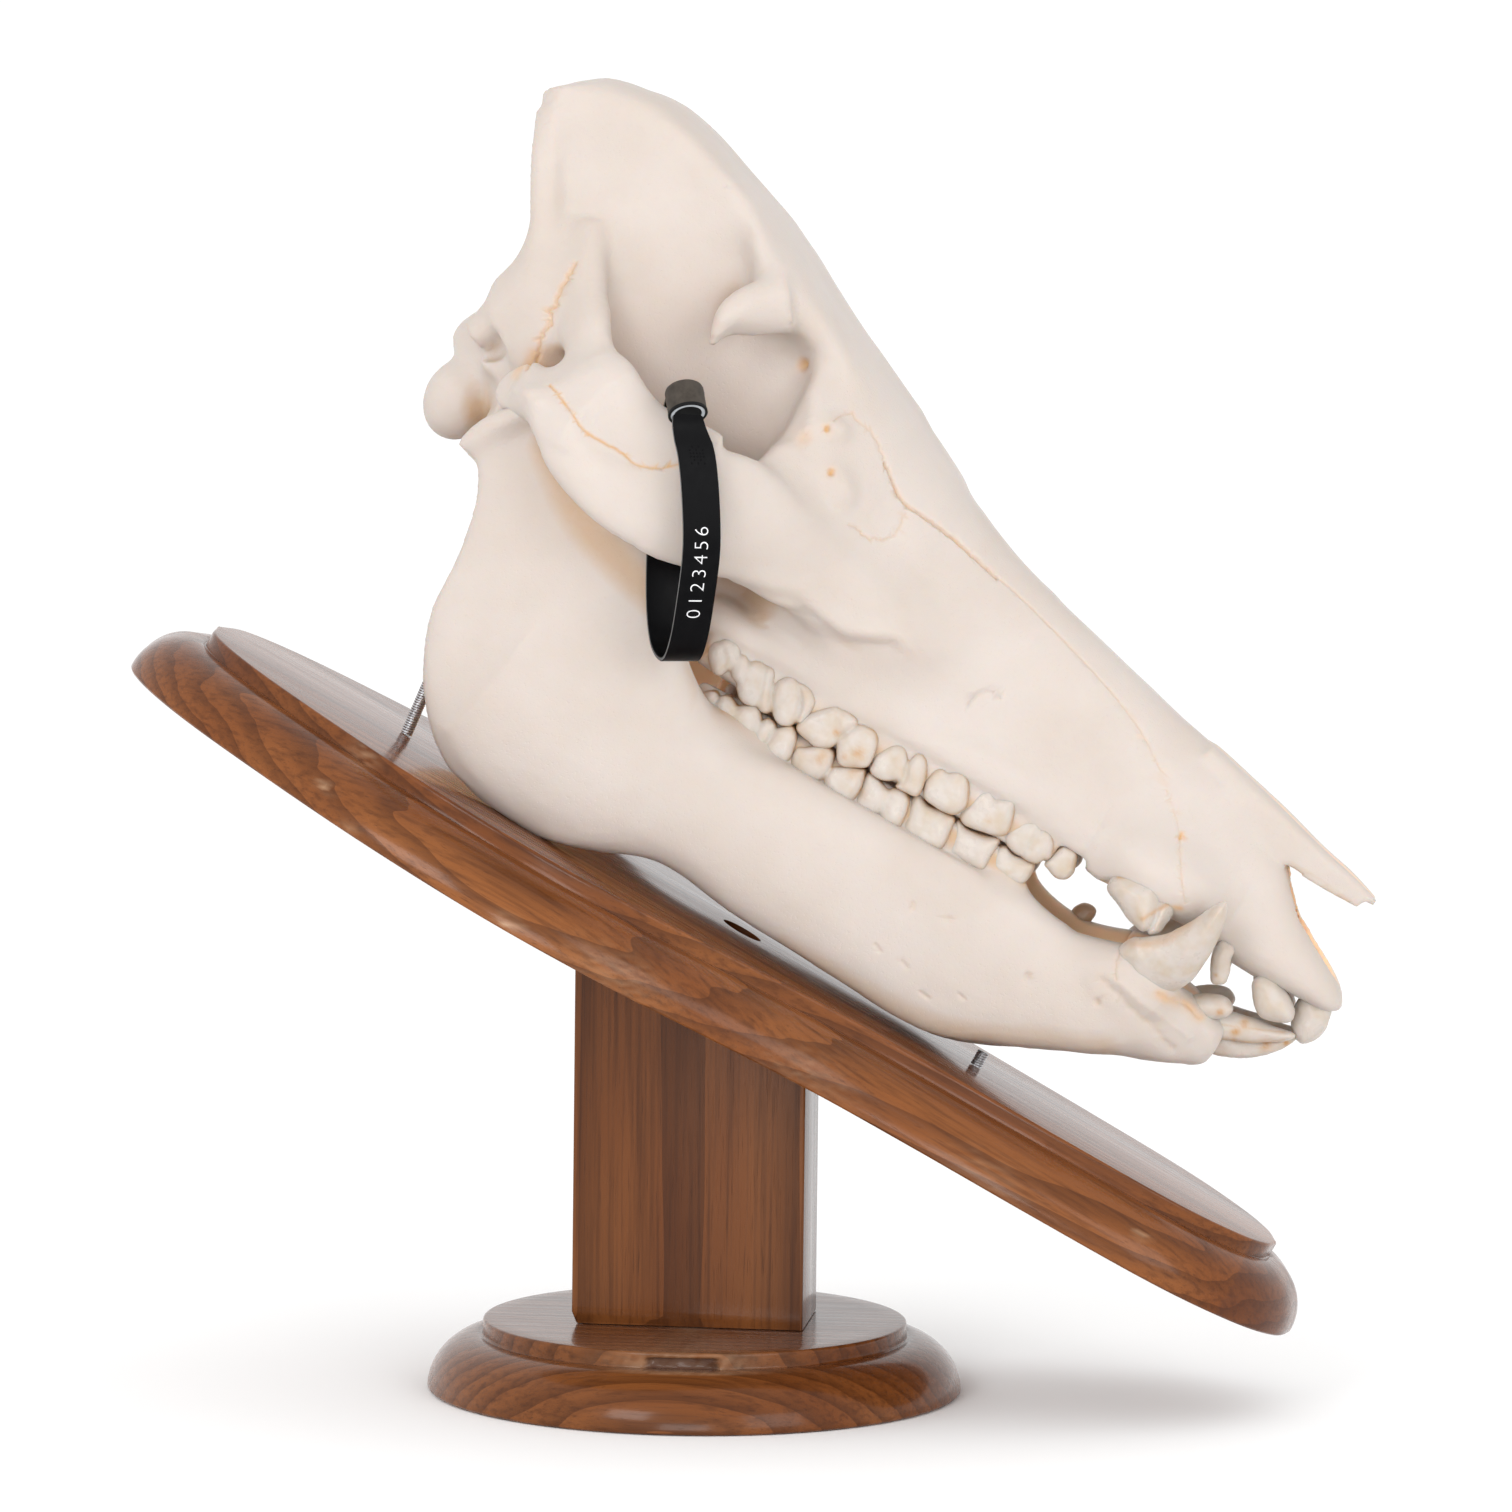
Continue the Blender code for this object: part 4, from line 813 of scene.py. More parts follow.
# Crowns of the cheek teeth, seen from the side: y of the middle, half width, outlines of the lobes
CHEEK_TEETH = {
    "upper_molar_3": (27.5, 9.0, [
        [(-47, 73), (-45, 75), (-42.5, 74.5), (-39.5, 69), (-40.5, 66), (-43, 66), (-46, 69)],
        [(-45, 75), (-42.5, 77), (-39, 76), (-37.5, 71.5), (-39.5, 68.5), (-42.5, 71)],
        [(-39.5, 72), (-37, 75), (-34, 73), (-33, 67.5), (-36, 67), (-38.5, 69)],
        [(-36, 71), (-33.5, 75), (-29.5, 75), (-27, 69.5), (-26.5, 64), (-30.5, 62.5), (-34, 65),
         (-35.5, 68)],
        [(-30, 75), (-27, 75), (-24.5, 69.5), (-22.5, 64.5), (-24.5, 63), (-27, 64.5), (-29, 69.5)],
        [(-25, 73), (-22.5, 76), (-19, 75.5), (-16, 71), (-14.5, 67), (-15.5, 63.5), (-19, 62.5),
         (-22.5, 65.5), (-24.5, 69.5)],
        [(-19, 75.5), (-16, 76), (-12.5, 73.5), (-12, 69), (-12.5, 66), (-14.5, 66), (-16, 71)]]),
    "upper_molar_2": (27.5, 8.75, [
        [(-13.5, 66), (-12, 69.5), (-8.5, 73.5), (-5.5, 75), (-2.5, 71.5), (-1, 68), (-2, 64), (-6, 62),
         (-9, 62.5), (-13, 63.5)],
        [(-7.5, 74), (-3, 75.5), (1, 74.5), (0.5, 71.5), (-1.5, 68.5), (-4, 70.5)],
        [(-0.5, 69), (0.5, 71.5), (2.5, 74), (6, 74.5), (8.5, 73), (10, 68.5), (10, 64.5), (7, 62.5),
         (3, 61), (0.5, 63.5), (-1, 67)]]),
    "upper_molar_1": (26.5, 7.75, [
        [(11, 64), (10.5, 68), (11.5, 70.5), (13.5, 73.5), (16, 74.5), (18.5, 73), (20.5, 69.5),
         (21.5, 65.5), (19, 65), (16.5, 63.5), (13.5, 63)],
        [(20, 70.5), (20, 73), (21, 75), (23, 75), (25.5, 72), (27, 66.5), (26.5, 64), (23.5, 63.5),
         (20, 63.5), (21, 66.5)]]),
    "upper_premolar_4": (25.5, 7.0, [
        [(27, 68), (27, 70.5), (27.5, 73), (29, 74.5), (31.5, 74.5), (33.5, 76), (36, 76), (38, 74.5),
         (40, 70.5), (40.5, 68.5), (39, 65), (36, 64), (32, 64), (28.5, 65)]]),
    "upper_premolar_3": (23.5, 5.5, [
        [(40, 65.5), (40.5, 69.5), (41.5, 73.5), (43.5, 76), (45.5, 76), (47, 74.5), (49, 76), (51.5, 77),
         (53, 75), (54.5, 70), (54.5, 67), (51.5, 65), (47, 64), (42.5, 63.5)]]),
    "upper_premolar_2": (22.0, 4.0, [
        [(54, 66.5), (55, 69.5), (57.5, 73.5), (60.5, 75), (63, 72), (62, 64), (57, 64)],
        [(62.5, 72.5), (65.5, 73.5), (68, 71), (69, 67.5), (67.5, 65.5), (66, 63.5), (61.5, 64)]]),
    "upper_premolar_1": (21.5, 2.75, [
        [(68.5, 65), (69.5, 68.5), (71, 72), (75, 72), (76.5, 68.5), (77, 66.5), (76, 64), (73, 63),
         (70, 64)]]),
    "lower_molar_3": (28.0, 8.0, [
        [(-42, 59), (-40, 61), (-38, 60.5), (-37, 56), (-38, 54), (-41, 56)],
        [(-38, 58), (-36.5, 61.5), (-33.5, 61.5), (-30.5, 59.5), (-30, 54), (-33.5, 53), (-36.5, 54)],
        [(-32, 59), (-30, 62), (-26.5, 63.5), (-24.5, 62), (-23, 59), (-23.5, 54), (-26.5, 52),
         (-30.5, 53)],
        [(-23.5, 59), (-22, 62), (-19, 61.5), (-18.5, 58), (-19, 54), (-23, 53), (-23.5, 57)],
        [(-18.5, 58), (-18, 61), (-15, 63.5), (-12.5, 62), (-11, 58), (-11, 54), (-14.5, 52), (-18.5, 54)]]),
    "lower_molar_2": (27.5, 7.5, [
        [(-10.5, 59), (-8, 60.5), (-5, 63), (-2, 63.5), (0, 62.5), (1, 58), (0, 54), (-4, 52), (-8.5, 53),
         (-10.5, 56)],
        [(1, 55.5), (1.5, 59), (3.5, 60.5), (9, 63), (10.5, 61.5), (11.5, 57), (10.5, 52.5), (6.5, 51.5),
         (2.5, 53)]]),
    "lower_molar_1": (26.5, 6.25, [
        [(11.5, 57.5), (11, 62), (13, 63), (17.5, 61.5), (19.5, 61), (20.5, 57.5), (19.5, 54), (16, 51.5),
         (12.5, 52.5)],
        [(19, 61), (21, 63), (23.5, 63), (25.5, 61.5), (26.5, 57.5), (26.5, 53.5), (22.5, 52), (20, 54)]]),
    "lower_premolar_4": (25.0, 5.0, [
        [(26, 61), (26, 63.5), (27.5, 64.5), (30.5, 63), (34.5, 63.5), (39, 63.5), (40, 60.5), (40.5, 56),
         (39.5, 53), (35, 52), (30.5, 52), (27.5, 53), (27, 57.5)]]),
    "lower_premolar_3": (23.0, 4.0, [
        [(40.5, 61.5), (40.5, 63.5), (44, 62.5), (48.5, 63), (53, 64.5), (54, 63), (54, 58), (54, 54.5),
         (51, 53.5), (46, 53.5), (42.5, 54)]]),
    "lower_premolar_2": (21.5, 3.25, [
        [(54, 60), (54.5, 62.5), (56.5, 63.5), (59, 62.5), (63.5, 63), (66, 63), (66.5, 60), (66, 57),
         (63.5, 55.5), (57.5, 55.5), (55, 57)]])}
# The lower first premolar stands alone, on the left side only
LONE_TOOTH = ("lower_premolar_1_left", 21.5, 2.25, [[(82.5, 48), (82, 53), (83.5, 56), (86, 57),
              (88.5, 56), (88.5, 52), (87.5, 48)]])
# Front teeth: y of the middle, half thickness, outward lean along X and Z, outlines
FRONT_TEETH = {
    "upper_canine": (27.5, 6.0, (0.12, -0.2), [
        [(87.5, 68), (88, 74), (96, 78), (101.5, 77), (104.5, 71), (105.5, 66), (103.5, 62.5),
         (100.5, 62.5), (97, 63.5), (92.5, 65.5)],
        [(101.5, 70.5), (103, 74.5), (107, 74.5), (108.5, 71), (108, 67.5), (107.5, 64.5), (104.5, 62.5),
         (103, 67)]]),
    "upper_incisor_3": (18.0, 2.6, (0.0, -0.05), [
        [(123.5, 67), (124.5, 71), (128.5, 71), (129.5, 67.5), (131, 64), (131.5, 60.5), (129.5, 59),
         (127.5, 59), (125, 63)]]),
    "upper_incisor_2": (12.5, 4.0, (-0.05, 0.0), [
        [(138, 64.5), (139.5, 68), (142.5, 69), (146, 68), (151, 65.5), (153.5, 63), (154, 60),
         (151.5, 58), (146, 56.5), (142.5, 58), (140, 61)]]),
    "upper_incisor_1": (5.4, 4.6, (0.0, 0.0), [
        [(152.8, 65.5), (154.5, 69), (158.5, 70), (162.3, 69), (163.9, 64.5), (164, 61), (162.8, 57.8),
         (160, 55), (157, 55.8), (154.2, 58.5), (153, 62)]]),
    "lower_canine": (29.8, 6.0, (0.02, 0.36), [
        [(99, 54), (102, 50), (106, 46), (112, 46), (117.5, 49), (120.8, 53), (122.6, 57), (123.4, 63),
         (123.4, 69.5), (122.7, 75.3), (121.4, 80), (119.4, 83.2), (116.6, 80.5), (114.6, 75.5),
         (111.6, 69.7), (108.3, 65), (104.3, 62), (101, 59.5)]]),
    "lower_incisor_3": (13.4, 3.2, (0.06, 0.0), [
        [(120, 46), (122, 49), (125.5, 52.8), (130, 55.8), (134, 56.8), (137.2, 55.2), (137, 51.8),
         (132.5, 48.5), (127, 46.5), (123, 44)]]),
    "lower_incisor_2": (8.2, 2.8, (-0.03, 0.0), [
        [(122, 42), (127, 48.5), (132, 51.5), (138, 53.6), (144, 55), (150, 55.9), (156, 57),
         (157.2, 55.8), (153.5, 52.2), (146, 47.6), (137.5, 43.8), (129, 39)]]),
    "lower_incisor_1": (3.0, 2.5, (0.0, 0.0), [
        [(126, 38), (132, 44), (139, 47), (147, 50.2), (153.5, 54), (157, 56.6), (158, 54.8), (155.5, 50),
         (151.5, 45.5), (146.5, 42), (141.5, 39.6), (137, 38.4), (130, 35.5)]])}
# Stains on the teeth: X, Z, radius, strength; and stained cracks: points, half width, strength
TOOTH_STAINS = [
    (-2.3, 68.7, 1.4, 0.75), (6.2, 66.8, 2.0, 0.75), (3.0, 64.0, 1.2, 0.6), (-3.0, 59.9, 2.0, 0.45),
    (7.5, 60.9, 2.2, 0.4), (48.3, 68.1, 1.0, 0.4), (13.0, 57.0, 1.5, 0.25), (20.0, 63.0, 1.2, 0.35),
    (134.5, 52.3, 1.1, 1.0), (142.5, 52.5, 1.3, 1.0), (141.5, 49.0, 1.3, 1.0), (142.5, 46.4, 1.0, 0.8),
    (151.0, 49.8, 1.8, 1.0), (156.0, 53.0, 0.9, 1.0), (126.0, 47.5, 2.0, 0.5), (127.8, 61.5, 0.6, 0.8),
    (105.0, 74.5, 1.3, 0.7), (109.5, 74.5, 1.2, 0.7)]
TOOTH_CRACKS = [
    ([(89, 73), (94, 76.5), (100, 76.5), (106, 74)], 0.9, 0.65),
    ([(101, 66), (104, 71), (106, 74)], 0.7, 0.5),
    ([(101, 58), (107, 61), (111.5, 67), (114, 75)], 1.5, 0.3),
    ([(130, 46), (142, 51), (154, 56)], 0.3, 0.35),
    ([(133, 43), (146, 48), (155, 54)], 0.3, 0.35)]
LONE_TOOTH_TINT = 0.5
OUTLINE_GROWTH = 0.22
LOBE_BLEND = 0.7
# Rounding of a crown's rim, and of a front tooth's for each unit of its half thickness
CROWN_EDGE = 3.2
FRONT_EDGE = 1.6
TOOTH_ROUGHNESS = 0.12
# Room round a tooth in its grid, and round each lobe; and how far each unit of lean carries the rim
TOOTH_ROOM = 2
TOOTH_MARGIN = 3
LEAN_REACH = 12


def pillow(outline, middle, half, edge, lean):
    """Upright cushion: an outline in X and Z round its y = middle, the rim rounded over edge.

    The middle moves outward by lean for each unit of X and of Z.
    """
    points = np.array(outline, float)
    line = spline(np.vstack([points[-1:], points, points[:2]]), 5)[5:-5]
    centre = points.mean(axis=0)
    (low_x, low_z), (high_x, high_z) = points.min(axis=0) - TOOTH_MARGIN, points.max(axis=0) + TOOTH_MARGIN
    reach = half + TOOTH_MARGIN + np.abs(lean).sum() * LEAN_REACH

    def shape(field):
        cut, x, y, z = field.window((low_x, middle - reach, low_z), (high_x, middle + reach, high_z))
        side = to_outline(x, z, line) - OUTLINE_GROWTH
        away = np.abs(y - middle - lean[0] * (x - centre[0]) - lean[1] * (z - centre[1])) - half
        return cut, -soft_min(-side, -away, edge)
    return shape


def tooth_mesh(middle, half, outlines, edge, lean=(0.0, 0.0)):
    """Points and triangles of one tooth on the side where y is above zero, and how much stain and painted
    shade it carries.
    """
    corners = np.vstack(outlines)
    (low_x, low_z), (high_x, high_z) = corners.min(axis=0) - TOOTH_ROOM, corners.max(axis=0) + TOOTH_ROOM
    reach = half + TOOTH_ROOM + np.abs(lean).sum() * LEAN_REACH
    field = Field((low_x, middle - reach, low_z), (high_x, middle + reach, high_z), TOOTH_STEP)
    for outline in outlines:
        field.grow(pillow(outline, middle, half, edge, lean), LOBE_BLEND)
    points, faces = surface(field)
    points = smoothed(points, faces, TOOTH_ROUNDS)
    points = points + normals_of(points, faces) * (wavy(points, 5.0, 5) * TOOTH_ROUGHNESS)[:, None]
    x, y, z = points.T
    # Painted shade: brown on a cheek tooth's rim faces, those turned to its neighbours and the other jaw,
    # away from its outer and inner faces
    tint = 0.8 * np.clip((half - 0.9 - np.abs(y - middle)) / 1.6, 0, 1) * (edge == CROWN_EDGE)
    tint *= 0.8 + 0.4 * wavy(points, 3.0, 6)
    for stain_x, stain_z, radius, strength in TOOTH_STAINS:
        stain = strength * faded(np.hypot(x - stain_x, z - stain_z), radius)
        tint = np.maximum(tint, stain * (0.75 + 0.4 * wavy(points, 2.0, 7)))
    for line, width, strength in TOOTH_CRACKS:
        tint = np.maximum(tint, strength * faded(to_line(x, z, crinkled(line, 0.7, 0.1)), width))
    return points, faces, np.clip(tint, 0, 1)


def make_crown(look, node, points, faces, tint):
    """One tooth in place of its node."""
    made = mesh_object(node + "_crown", points, faces.tolist())
    set_values(made, tint=tint)
    piece(made, look, "tooth", node)


def make_teeth(look):
    """Every tooth of both sides."""
    forms = {name: tooth_mesh(middle, half, outlines, CROWN_EDGE)
             for name, (middle, half, outlines) in CHEEK_TEETH.items()}
    forms |= {name: tooth_mesh(middle, half, outlines, half * FRONT_EDGE, lean)
              for name, (middle, half, lean, outlines) in FRONT_TEETH.items()}
    for name, (points, faces, tint) in forms.items():
        for hand, side in (("left", 1), ("right", -1)):
            make_crown(look, f"{name}_{hand}", points * [1, side, 1], faces[:, ::side], tint)
    node, middle, half, outlines = LONE_TOOTH
    points, faces, tint = tooth_mesh(middle, half, outlines, CROWN_EDGE)
    make_crown(look, node, points, faces, np.full(len(points), LONE_TOOTH_TINT))


class Look:
    """A Principled material and the nodes that feed it."""

    def __init__(self, name, colour, roughness, metallic=0.0, **inputs):
        self.material = bpy.data.materials.new(name)
        self.material.use_nodes = True
        self.shader = self.material.node_tree.nodes["Principled BSDF"]
        self.finish(Base_Color=(*colour, 1.0), Roughness=roughness, Metallic=metallic, **inputs)

    def fill(self, node, inputs):
        """Sets or joins a node's inputs."""
        for name, value in inputs.items():
            if isinstance(value, bpy.types.NodeSocket):
                self.material.node_tree.links.new(value, node.inputs[name])
            else:
                node.inputs[name].default_value = value

    def finish(self, **inputs):
        """Sets or joins the shader's inputs, with _ for a space, and gives back the material."""
        self.fill(self.shader, {key.replace("_", " "): value for key, value in inputs.items()})
        return self.material

    def add(self, kind, inputs, output=0, **settings):
        """A new node; gives back one of its outputs."""
        node = self.material.node_tree.nodes.new("ShaderNode" + kind)
        for key, value in settings.items():
            setattr(node, key, value)
        self.fill(node, inputs)
        return node.outputs[output]

    def place(self, scale=(1, 1, 1), turn=0.0, shift=(0, 0, 0)):
        """The object's own coordinates in a texture frame that is moved, turned about Y and stretched."""
        own = self.add("TexCoord", {}, output=3)
        return self.add("Mapping", {"Vector": own, "Scale": scale, "Location": shift,
                                    "Rotation": (0, turn, 0)}, vector_type="TEXTURE")

    def noise(self, place, scale, detail=3.0):
        """Cloudy noise."""
        return self.add("TexNoise", {"Vector": place, "Scale": scale, "Detail": detail})

    def between(self, value, low, high, start=0.0, end=1.0):
        """A value stretched from low..high to start..end."""
        return self.add("MapRange", {"Value": value, "From Min": low, "From Max": high,
                                     "To Min": start, "To Max": end})

    def stored(self, name):
        """A number stored for each point of the mesh."""
        return self.add("Attribute", {}, output=2, attribute_name=name)

    def mix(self, share, first, second):
        """Two colours mixed."""
        colours = [value if isinstance(value, bpy.types.NodeSocket) else (*value, 1.0)
                   for value in (first, second)]
        return self.add("Mix", {0: share, 6: colours[0], 7: colours[1]}, output=2, data_type="RGBA")

    def bump(self, height, depth, strength, **under):
        """Bump with a depth in metres, over another bump where Normal gives one."""
        return self.add("Bump", {"Height": height, "Distance": depth, "Strength": strength, **under})


IVORY = (0.535, 0.475, 0.435)
ROSY_IVORY = (0.51, 0.445, 0.398)
# Colour of the painted shade in hollows and along shaded lines
PAINTED_SHADE_BONE = (0.48, 0.345, 0.235)
STAIN = (0.62, 0.31, 0.07)
# Colour of the painted glow on faces turned to the midline
PAINTED_GLOW_TAN = (0.98, 0.66, 0.42)
ENAMEL = (0.505, 0.452, 0.408)
CREAM_ENAMEL = (0.47, 0.385, 0.295)
TOOTH_STAIN_AND_SHADE = (0.44, 0.215, 0.055)
WALNUT = (0.176, 0.050, 0.012)
DARK_WALNUT = (0.055, 0.0155, 0.0045)
LIGHT_WALNUT = (0.275, 0.094, 0.026)
PALE_SCUFF_AND_SHEEN = (0.55, 0.36, 0.22)
DARK_SCUFF = (0.05, 0.018, 0.012)
STEEL = (0.55, 0.56, 0.58)
BRIGHT_STEEL = (0.62, 0.63, 0.65)
DULL_STEEL = (0.36, 0.36, 0.38)


def make_bone_look():
    """Dry bone: ivory, with a painted warm shade in recesses and a painted tan glow on faces turned to the
    midline, orange where stained, finely pitted.
    """
    look = Look("bone_look", IVORY, 0.5, Subsurface_Weight=0.45, Subsurface_Scale=0.002,
                Subsurface_Radius=(1.0, 0.45, 0.22), Specular_IOR_Level=0.3)
    place = look.place()
    cloud = look.noise(place, 28.0, 4.0)
    colour = look.mix(look.between(cloud, 0.4, 0.65), IVORY, ROSY_IVORY)
    # Painted shade in hollows and along shaded lines
    colour = look.mix(look.between(look.stored("recess"), 0.6, 1.15, 0.0, 0.9), colour, PAINTED_SHADE_BONE)
    # Painted tan glow on faces turned towards the midline
    colour = look.mix(look.stored("inner"), colour, PAINTED_GLOW_TAN)
    colour = look.mix(look.stored("tint"), colour, STAIN)
    grain = look.bump(look.noise(place, 520.0, 6.0), 0.0002, 0.35)
    pits = look.between(look.noise(place, 1500.0, 2.0), 0.25, 0.42)
    return look.finish(Base_Color=colour, Roughness=look.between(cloud, 0.3, 0.7, 0.42, 0.56),
                       Normal=look.bump(pits, 0.0001, 0.5, Normal=grain))


def make_tooth_look():
    """Enamel: creamy white and glossy, with fine ripples, stains, and a painted brown shade on the cheek
    teeth's rims between neighbours.
    """
    look = Look("tooth_look", ENAMEL, 0.25, Subsurface_Weight=0.5, Subsurface_Scale=0.0022,
                Subsurface_Radius=(1.0, 0.5, 0.3), Specular_IOR_Level=0.35)
    place = look.place()
    cloud = look.noise(place, 160.0)
    colour = look.mix(look.between(cloud, 0.45, 0.75), ENAMEL, CREAM_ENAMEL)
    # Stains, and painted shade on the cheek teeth's rims
    colour = look.mix(look.stored("tint"), colour, TOOTH_STAIN_AND_SHADE)
    return look.finish(Base_Color=colour, Roughness=look.between(cloud, 0.3, 0.7, 0.25, 0.4),
                       Normal=look.bump(look.noise(place, 900.0), 0.0001, 0.4))


def make_wood_look(name, turn, shift, ring_size, tone):
    """Varnished walnut with its grain along X, turned about Y."""
    walnut, dark, light = ([part * tone for part in colour] for colour in (WALNUT, DARK_WALNUT, LIGHT_WALNUT))
    look = Look(name, walnut, 0.2, Specular_IOR_Level=0.08, Coat_Weight=0.62, Coat_IOR=1.27,
                Coat_Roughness=0.13, Sheen_Weight=0.03, Sheen_Roughness=0.3, Sheen_Tint=(1.0, 0.6, 0.5, 1.0))
    rings = look.add("TexWave", {"Vector": look.place((14, 1, 1), turn, shift), "Scale": 0.314 / ring_size,
                                 "Distortion": 4.0, "Detail": 2.0, "Detail Scale": 1.2,
                                 "Detail Roughness": 0.45},
                     wave_type="RINGS", rings_direction="X", wave_profile="SAW")
    cloud = look.noise(look.place((5, 1, 1), turn), 30.0)
    streaks = look.noise(look.place((40, 1, 1), turn), 700.0, 4.0)
    pores = look.noise(look.place((30, 1, 1), turn), 2600.0, 2.0)
    colour = look.mix(look.between(cloud, 0.35, 0.7), light, walnut)
    colour = look.mix(look.between(rings, 0.35, 1.0, 0.0, 0.55), colour, dark)
    colour = look.mix(look.between(streaks, 0.45, 0.75, 0.0, 0.6), colour, dark)
    colour = look.mix(look.between(pores, 0.6, 0.75, 0.0, 0.45), colour, dark)
    # Pale wear round the gouge and pale scuffs; on the board's lower moulding also a pale haze, partly dust
    # and partly painted sheen
    colour = look.mix(look.stored("pale"), colour, PALE_SCUFF_AND_SHEEN)
    colour = look.mix(look.stored("dark"), colour, DARK_SCUFF)
    return look.finish(Base_Color=colour, Roughness=look.between(streaks, 0.3, 0.7, 0.22, 0.36),
                       Normal=look.bump(look.between(pores, 0.6, 0.75), 0.00006, 0.6))


def make_steel_look():
    """Zinc-plated steel."""
    look = Look("steel_look", STEEL, 0.35, 1.0)
    cloud = look.noise(look.place(), 900.0, 4.0)
    colour = look.mix(look.between(cloud, 0.35, 0.7), BRIGHT_STEEL, DULL_STEEL)
    return look.finish(Base_Color=colour, Roughness=look.between(cloud, 0.3, 0.7, 0.28, 0.48),
                       Normal=look.bump(cloud, 0.00005, 0.4))


def make_plastic_look(name, colour, other, roughness):
    """Moulded plastic with a fine texture."""
    look = Look(name, colour, roughness, Specular_IOR_Level=0.06)
    place = look.place()
    cloud = look.noise(place, 350.0, 4.0)
    mixed = look.mix(look.between(cloud, 0.35, 0.65), colour, other)
    return look.finish(Base_Color=mixed, Roughness=look.between(cloud, 0.3, 0.7, roughness, roughness + 0.12),
                       Normal=look.bump(look.noise(place, 2200.0, 2.0), 0.00003, 0.5))


def strip_mesh(rings):
    """Points and faces over a row of rings, with a flat face at each end."""
    count = len(rings[0])
    points = np.vstack(rings)
    faces = [(base + i, base + (i + 1) % count, base + count + (i + 1) % count, base + count + i)
             for base in range(0, len(points) - count, count) for i in range(count)]
    return points, faces + [tuple(range(count))[::-1], tuple(range(len(points) - count, len(points)))]


def turned_mesh(profile, turn):
    """Points and faces of a form turned about Z, from radius and height."""
    return strip_mesh([np.stack([r * np.cos(turn), r * np.sin(turn), z + 0 * turn], axis=1)
                       for r, z in profile])


def full_turn(count, start=0.0):
    """Angles evenly round a circle."""
    return start + np.arange(count) * 2 * np.pi / count


# Round foot, as in the part
BASE_RADIUS = 80.0
MOULDING_RADIUS = 16.5
MOULDING_STEP = 4.5
BASE_HEIGHT = 20.7
# Gouge in the foot's step: degrees from the front, half width in degrees, depth; and the worn patch
# round it: half width in degrees, middle and half height, and how far out it goes
GOUGE_ANGLE = 4.0
GOUGE_WIDTH = 9.7
GOUGE_DEPTH = 2.0
WORN_WIDTH = 17.0
WORN_MIDDLE = 17.5
WORN_HEIGHT = 3.5
WORN_RADIUS = 69.0


def moulding(rim):
    """Profile of the moulding as distance outward and height: step, fine groove and quarter round."""
    top = rim + MOULDING_STEP
    profile = [(-0.9, top), (-0.45, top - 0.08), (-0.12, top - 0.35), (0, top - 0.8)]
    profile += [(0, top - 0.8 - 0.55 * k) for k in range(1, 7)]
    profile += [(0.1, rim - 0.2), (0.5, rim - 0.45)]
    return profile + [(MOULDING_RADIUS * math.sin(a), rim - MOULDING_RADIUS * (1 - math.cos(a)))
                      for a in np.radians(np.linspace(5, 86, 22))]


def make_base(look):
    """Turned foot with its gouge."""
    inner = BASE_RADIUS - MOULDING_RADIUS
    profile = [(inner * share, BASE_HEIGHT) for share in (0.02, 0.35, 0.7, 0.9)]
    profile += [(inner + out, z) for out, z in moulding(BASE_HEIGHT - MOULDING_STEP)]
    profile += [(BASE_RADIUS - 0.05, 0.6), (BASE_RADIUS - 0.5, 0), (BASE_RADIUS * 0.5, 0)]
    points, faces = turned_mesh(profile[::-1], full_turn(360, -np.pi / 2))
    x, y, z = points.T
    angle = np.degrees(np.arctan2(x, -y)) - GOUGE_ANGLE
    radius = np.hypot(x, y)
    ragged = wavy(points, 3.0, 11)
    within = np.clip((GOUGE_WIDTH - np.abs(angle) + ragged * 0.4) / 0.9, 0, 1)
    low, high = BASE_HEIGHT - MOULDING_STEP - 1.0, BASE_HEIGHT - 1.3
    level = np.clip(np.minimum(z - low, high - z) / 0.4, 0, 1)
    gouge = within * level * (np.abs(radius - inner) < 3.5)
    worn = faded(angle, WORN_WIDTH) * faded(z - WORN_MIDDLE, WORN_HEIGHT) * (radius < WORN_RADIUS)
    drop = gouge * (GOUGE_DEPTH + ragged * 0.25)
    points[:, :2] *= ((radius - drop) / radius)[:, None]
    made = mesh_object("base_wood", points, faces, FOOT_FRAME, sharp=60)
    set_values(made, pale=np.clip(worn * (0.55 + 0.35 * ragged), 0, 1) * 0.55, dark=gouge * 0.75)
    piece(made, look, "wood", "base")


# Post and board, as in the part, and the gap between pieces
POST_LENGTH = 69.0
POST_DEPTH = 39.0
BOARD_THICKNESS = 21.5
BOARD_HOLE_RADIUS = 6.4
BOARD_HOLE_DEPTH = 12.0
BOARD_OUTLINE = [
    (-183.0, 0.0), (-178.0, 22.0), (-160.0, 41.0), (-128.0, 58.0), (-95.0, 70.5), (-60.0, 76.5),
    (-28.0, 72.5), (5.0, 60.0), (40.0, 48.0), (75.0, 43.5), (115.0, 41.5), (150.0, 37.5), (170.0, 27.5),
    (180.0, 15.0), (183.5, 0.0)]
GAP = 0.3
# Rounding of the post's upright edges, and the chip at its lower corner: depths and width
POST_EASE = 0.7
CHIP = (1.5, 1.2)
CHIP_WIDTH = 1.6
# Scuffs on the near moulding, the three long ones low on it a pale haze that is partly dust and partly a
# painted sheen: X, Z, half length, strength; and where its end block starts
BOARD_SCUFFS_AND_SHEEN = [
    (-119, -14, 2.6, 0.5), (-106, -20, 2.4, 0.5), (-116, -3, 5.0, 0.3), (-52.5, -19, 4.0, 0.4),
    (-20, -18, 14.0, 0.16), (146, -11, 2.2, 0.5), (40, -18, 14.0, 0.12), (100, -18, 12.0, 0.14)]
BOARD_JOINT = 176.0
# The finer outline bulges a hair more than the part's
PLAQUE_FIT = 0.9995


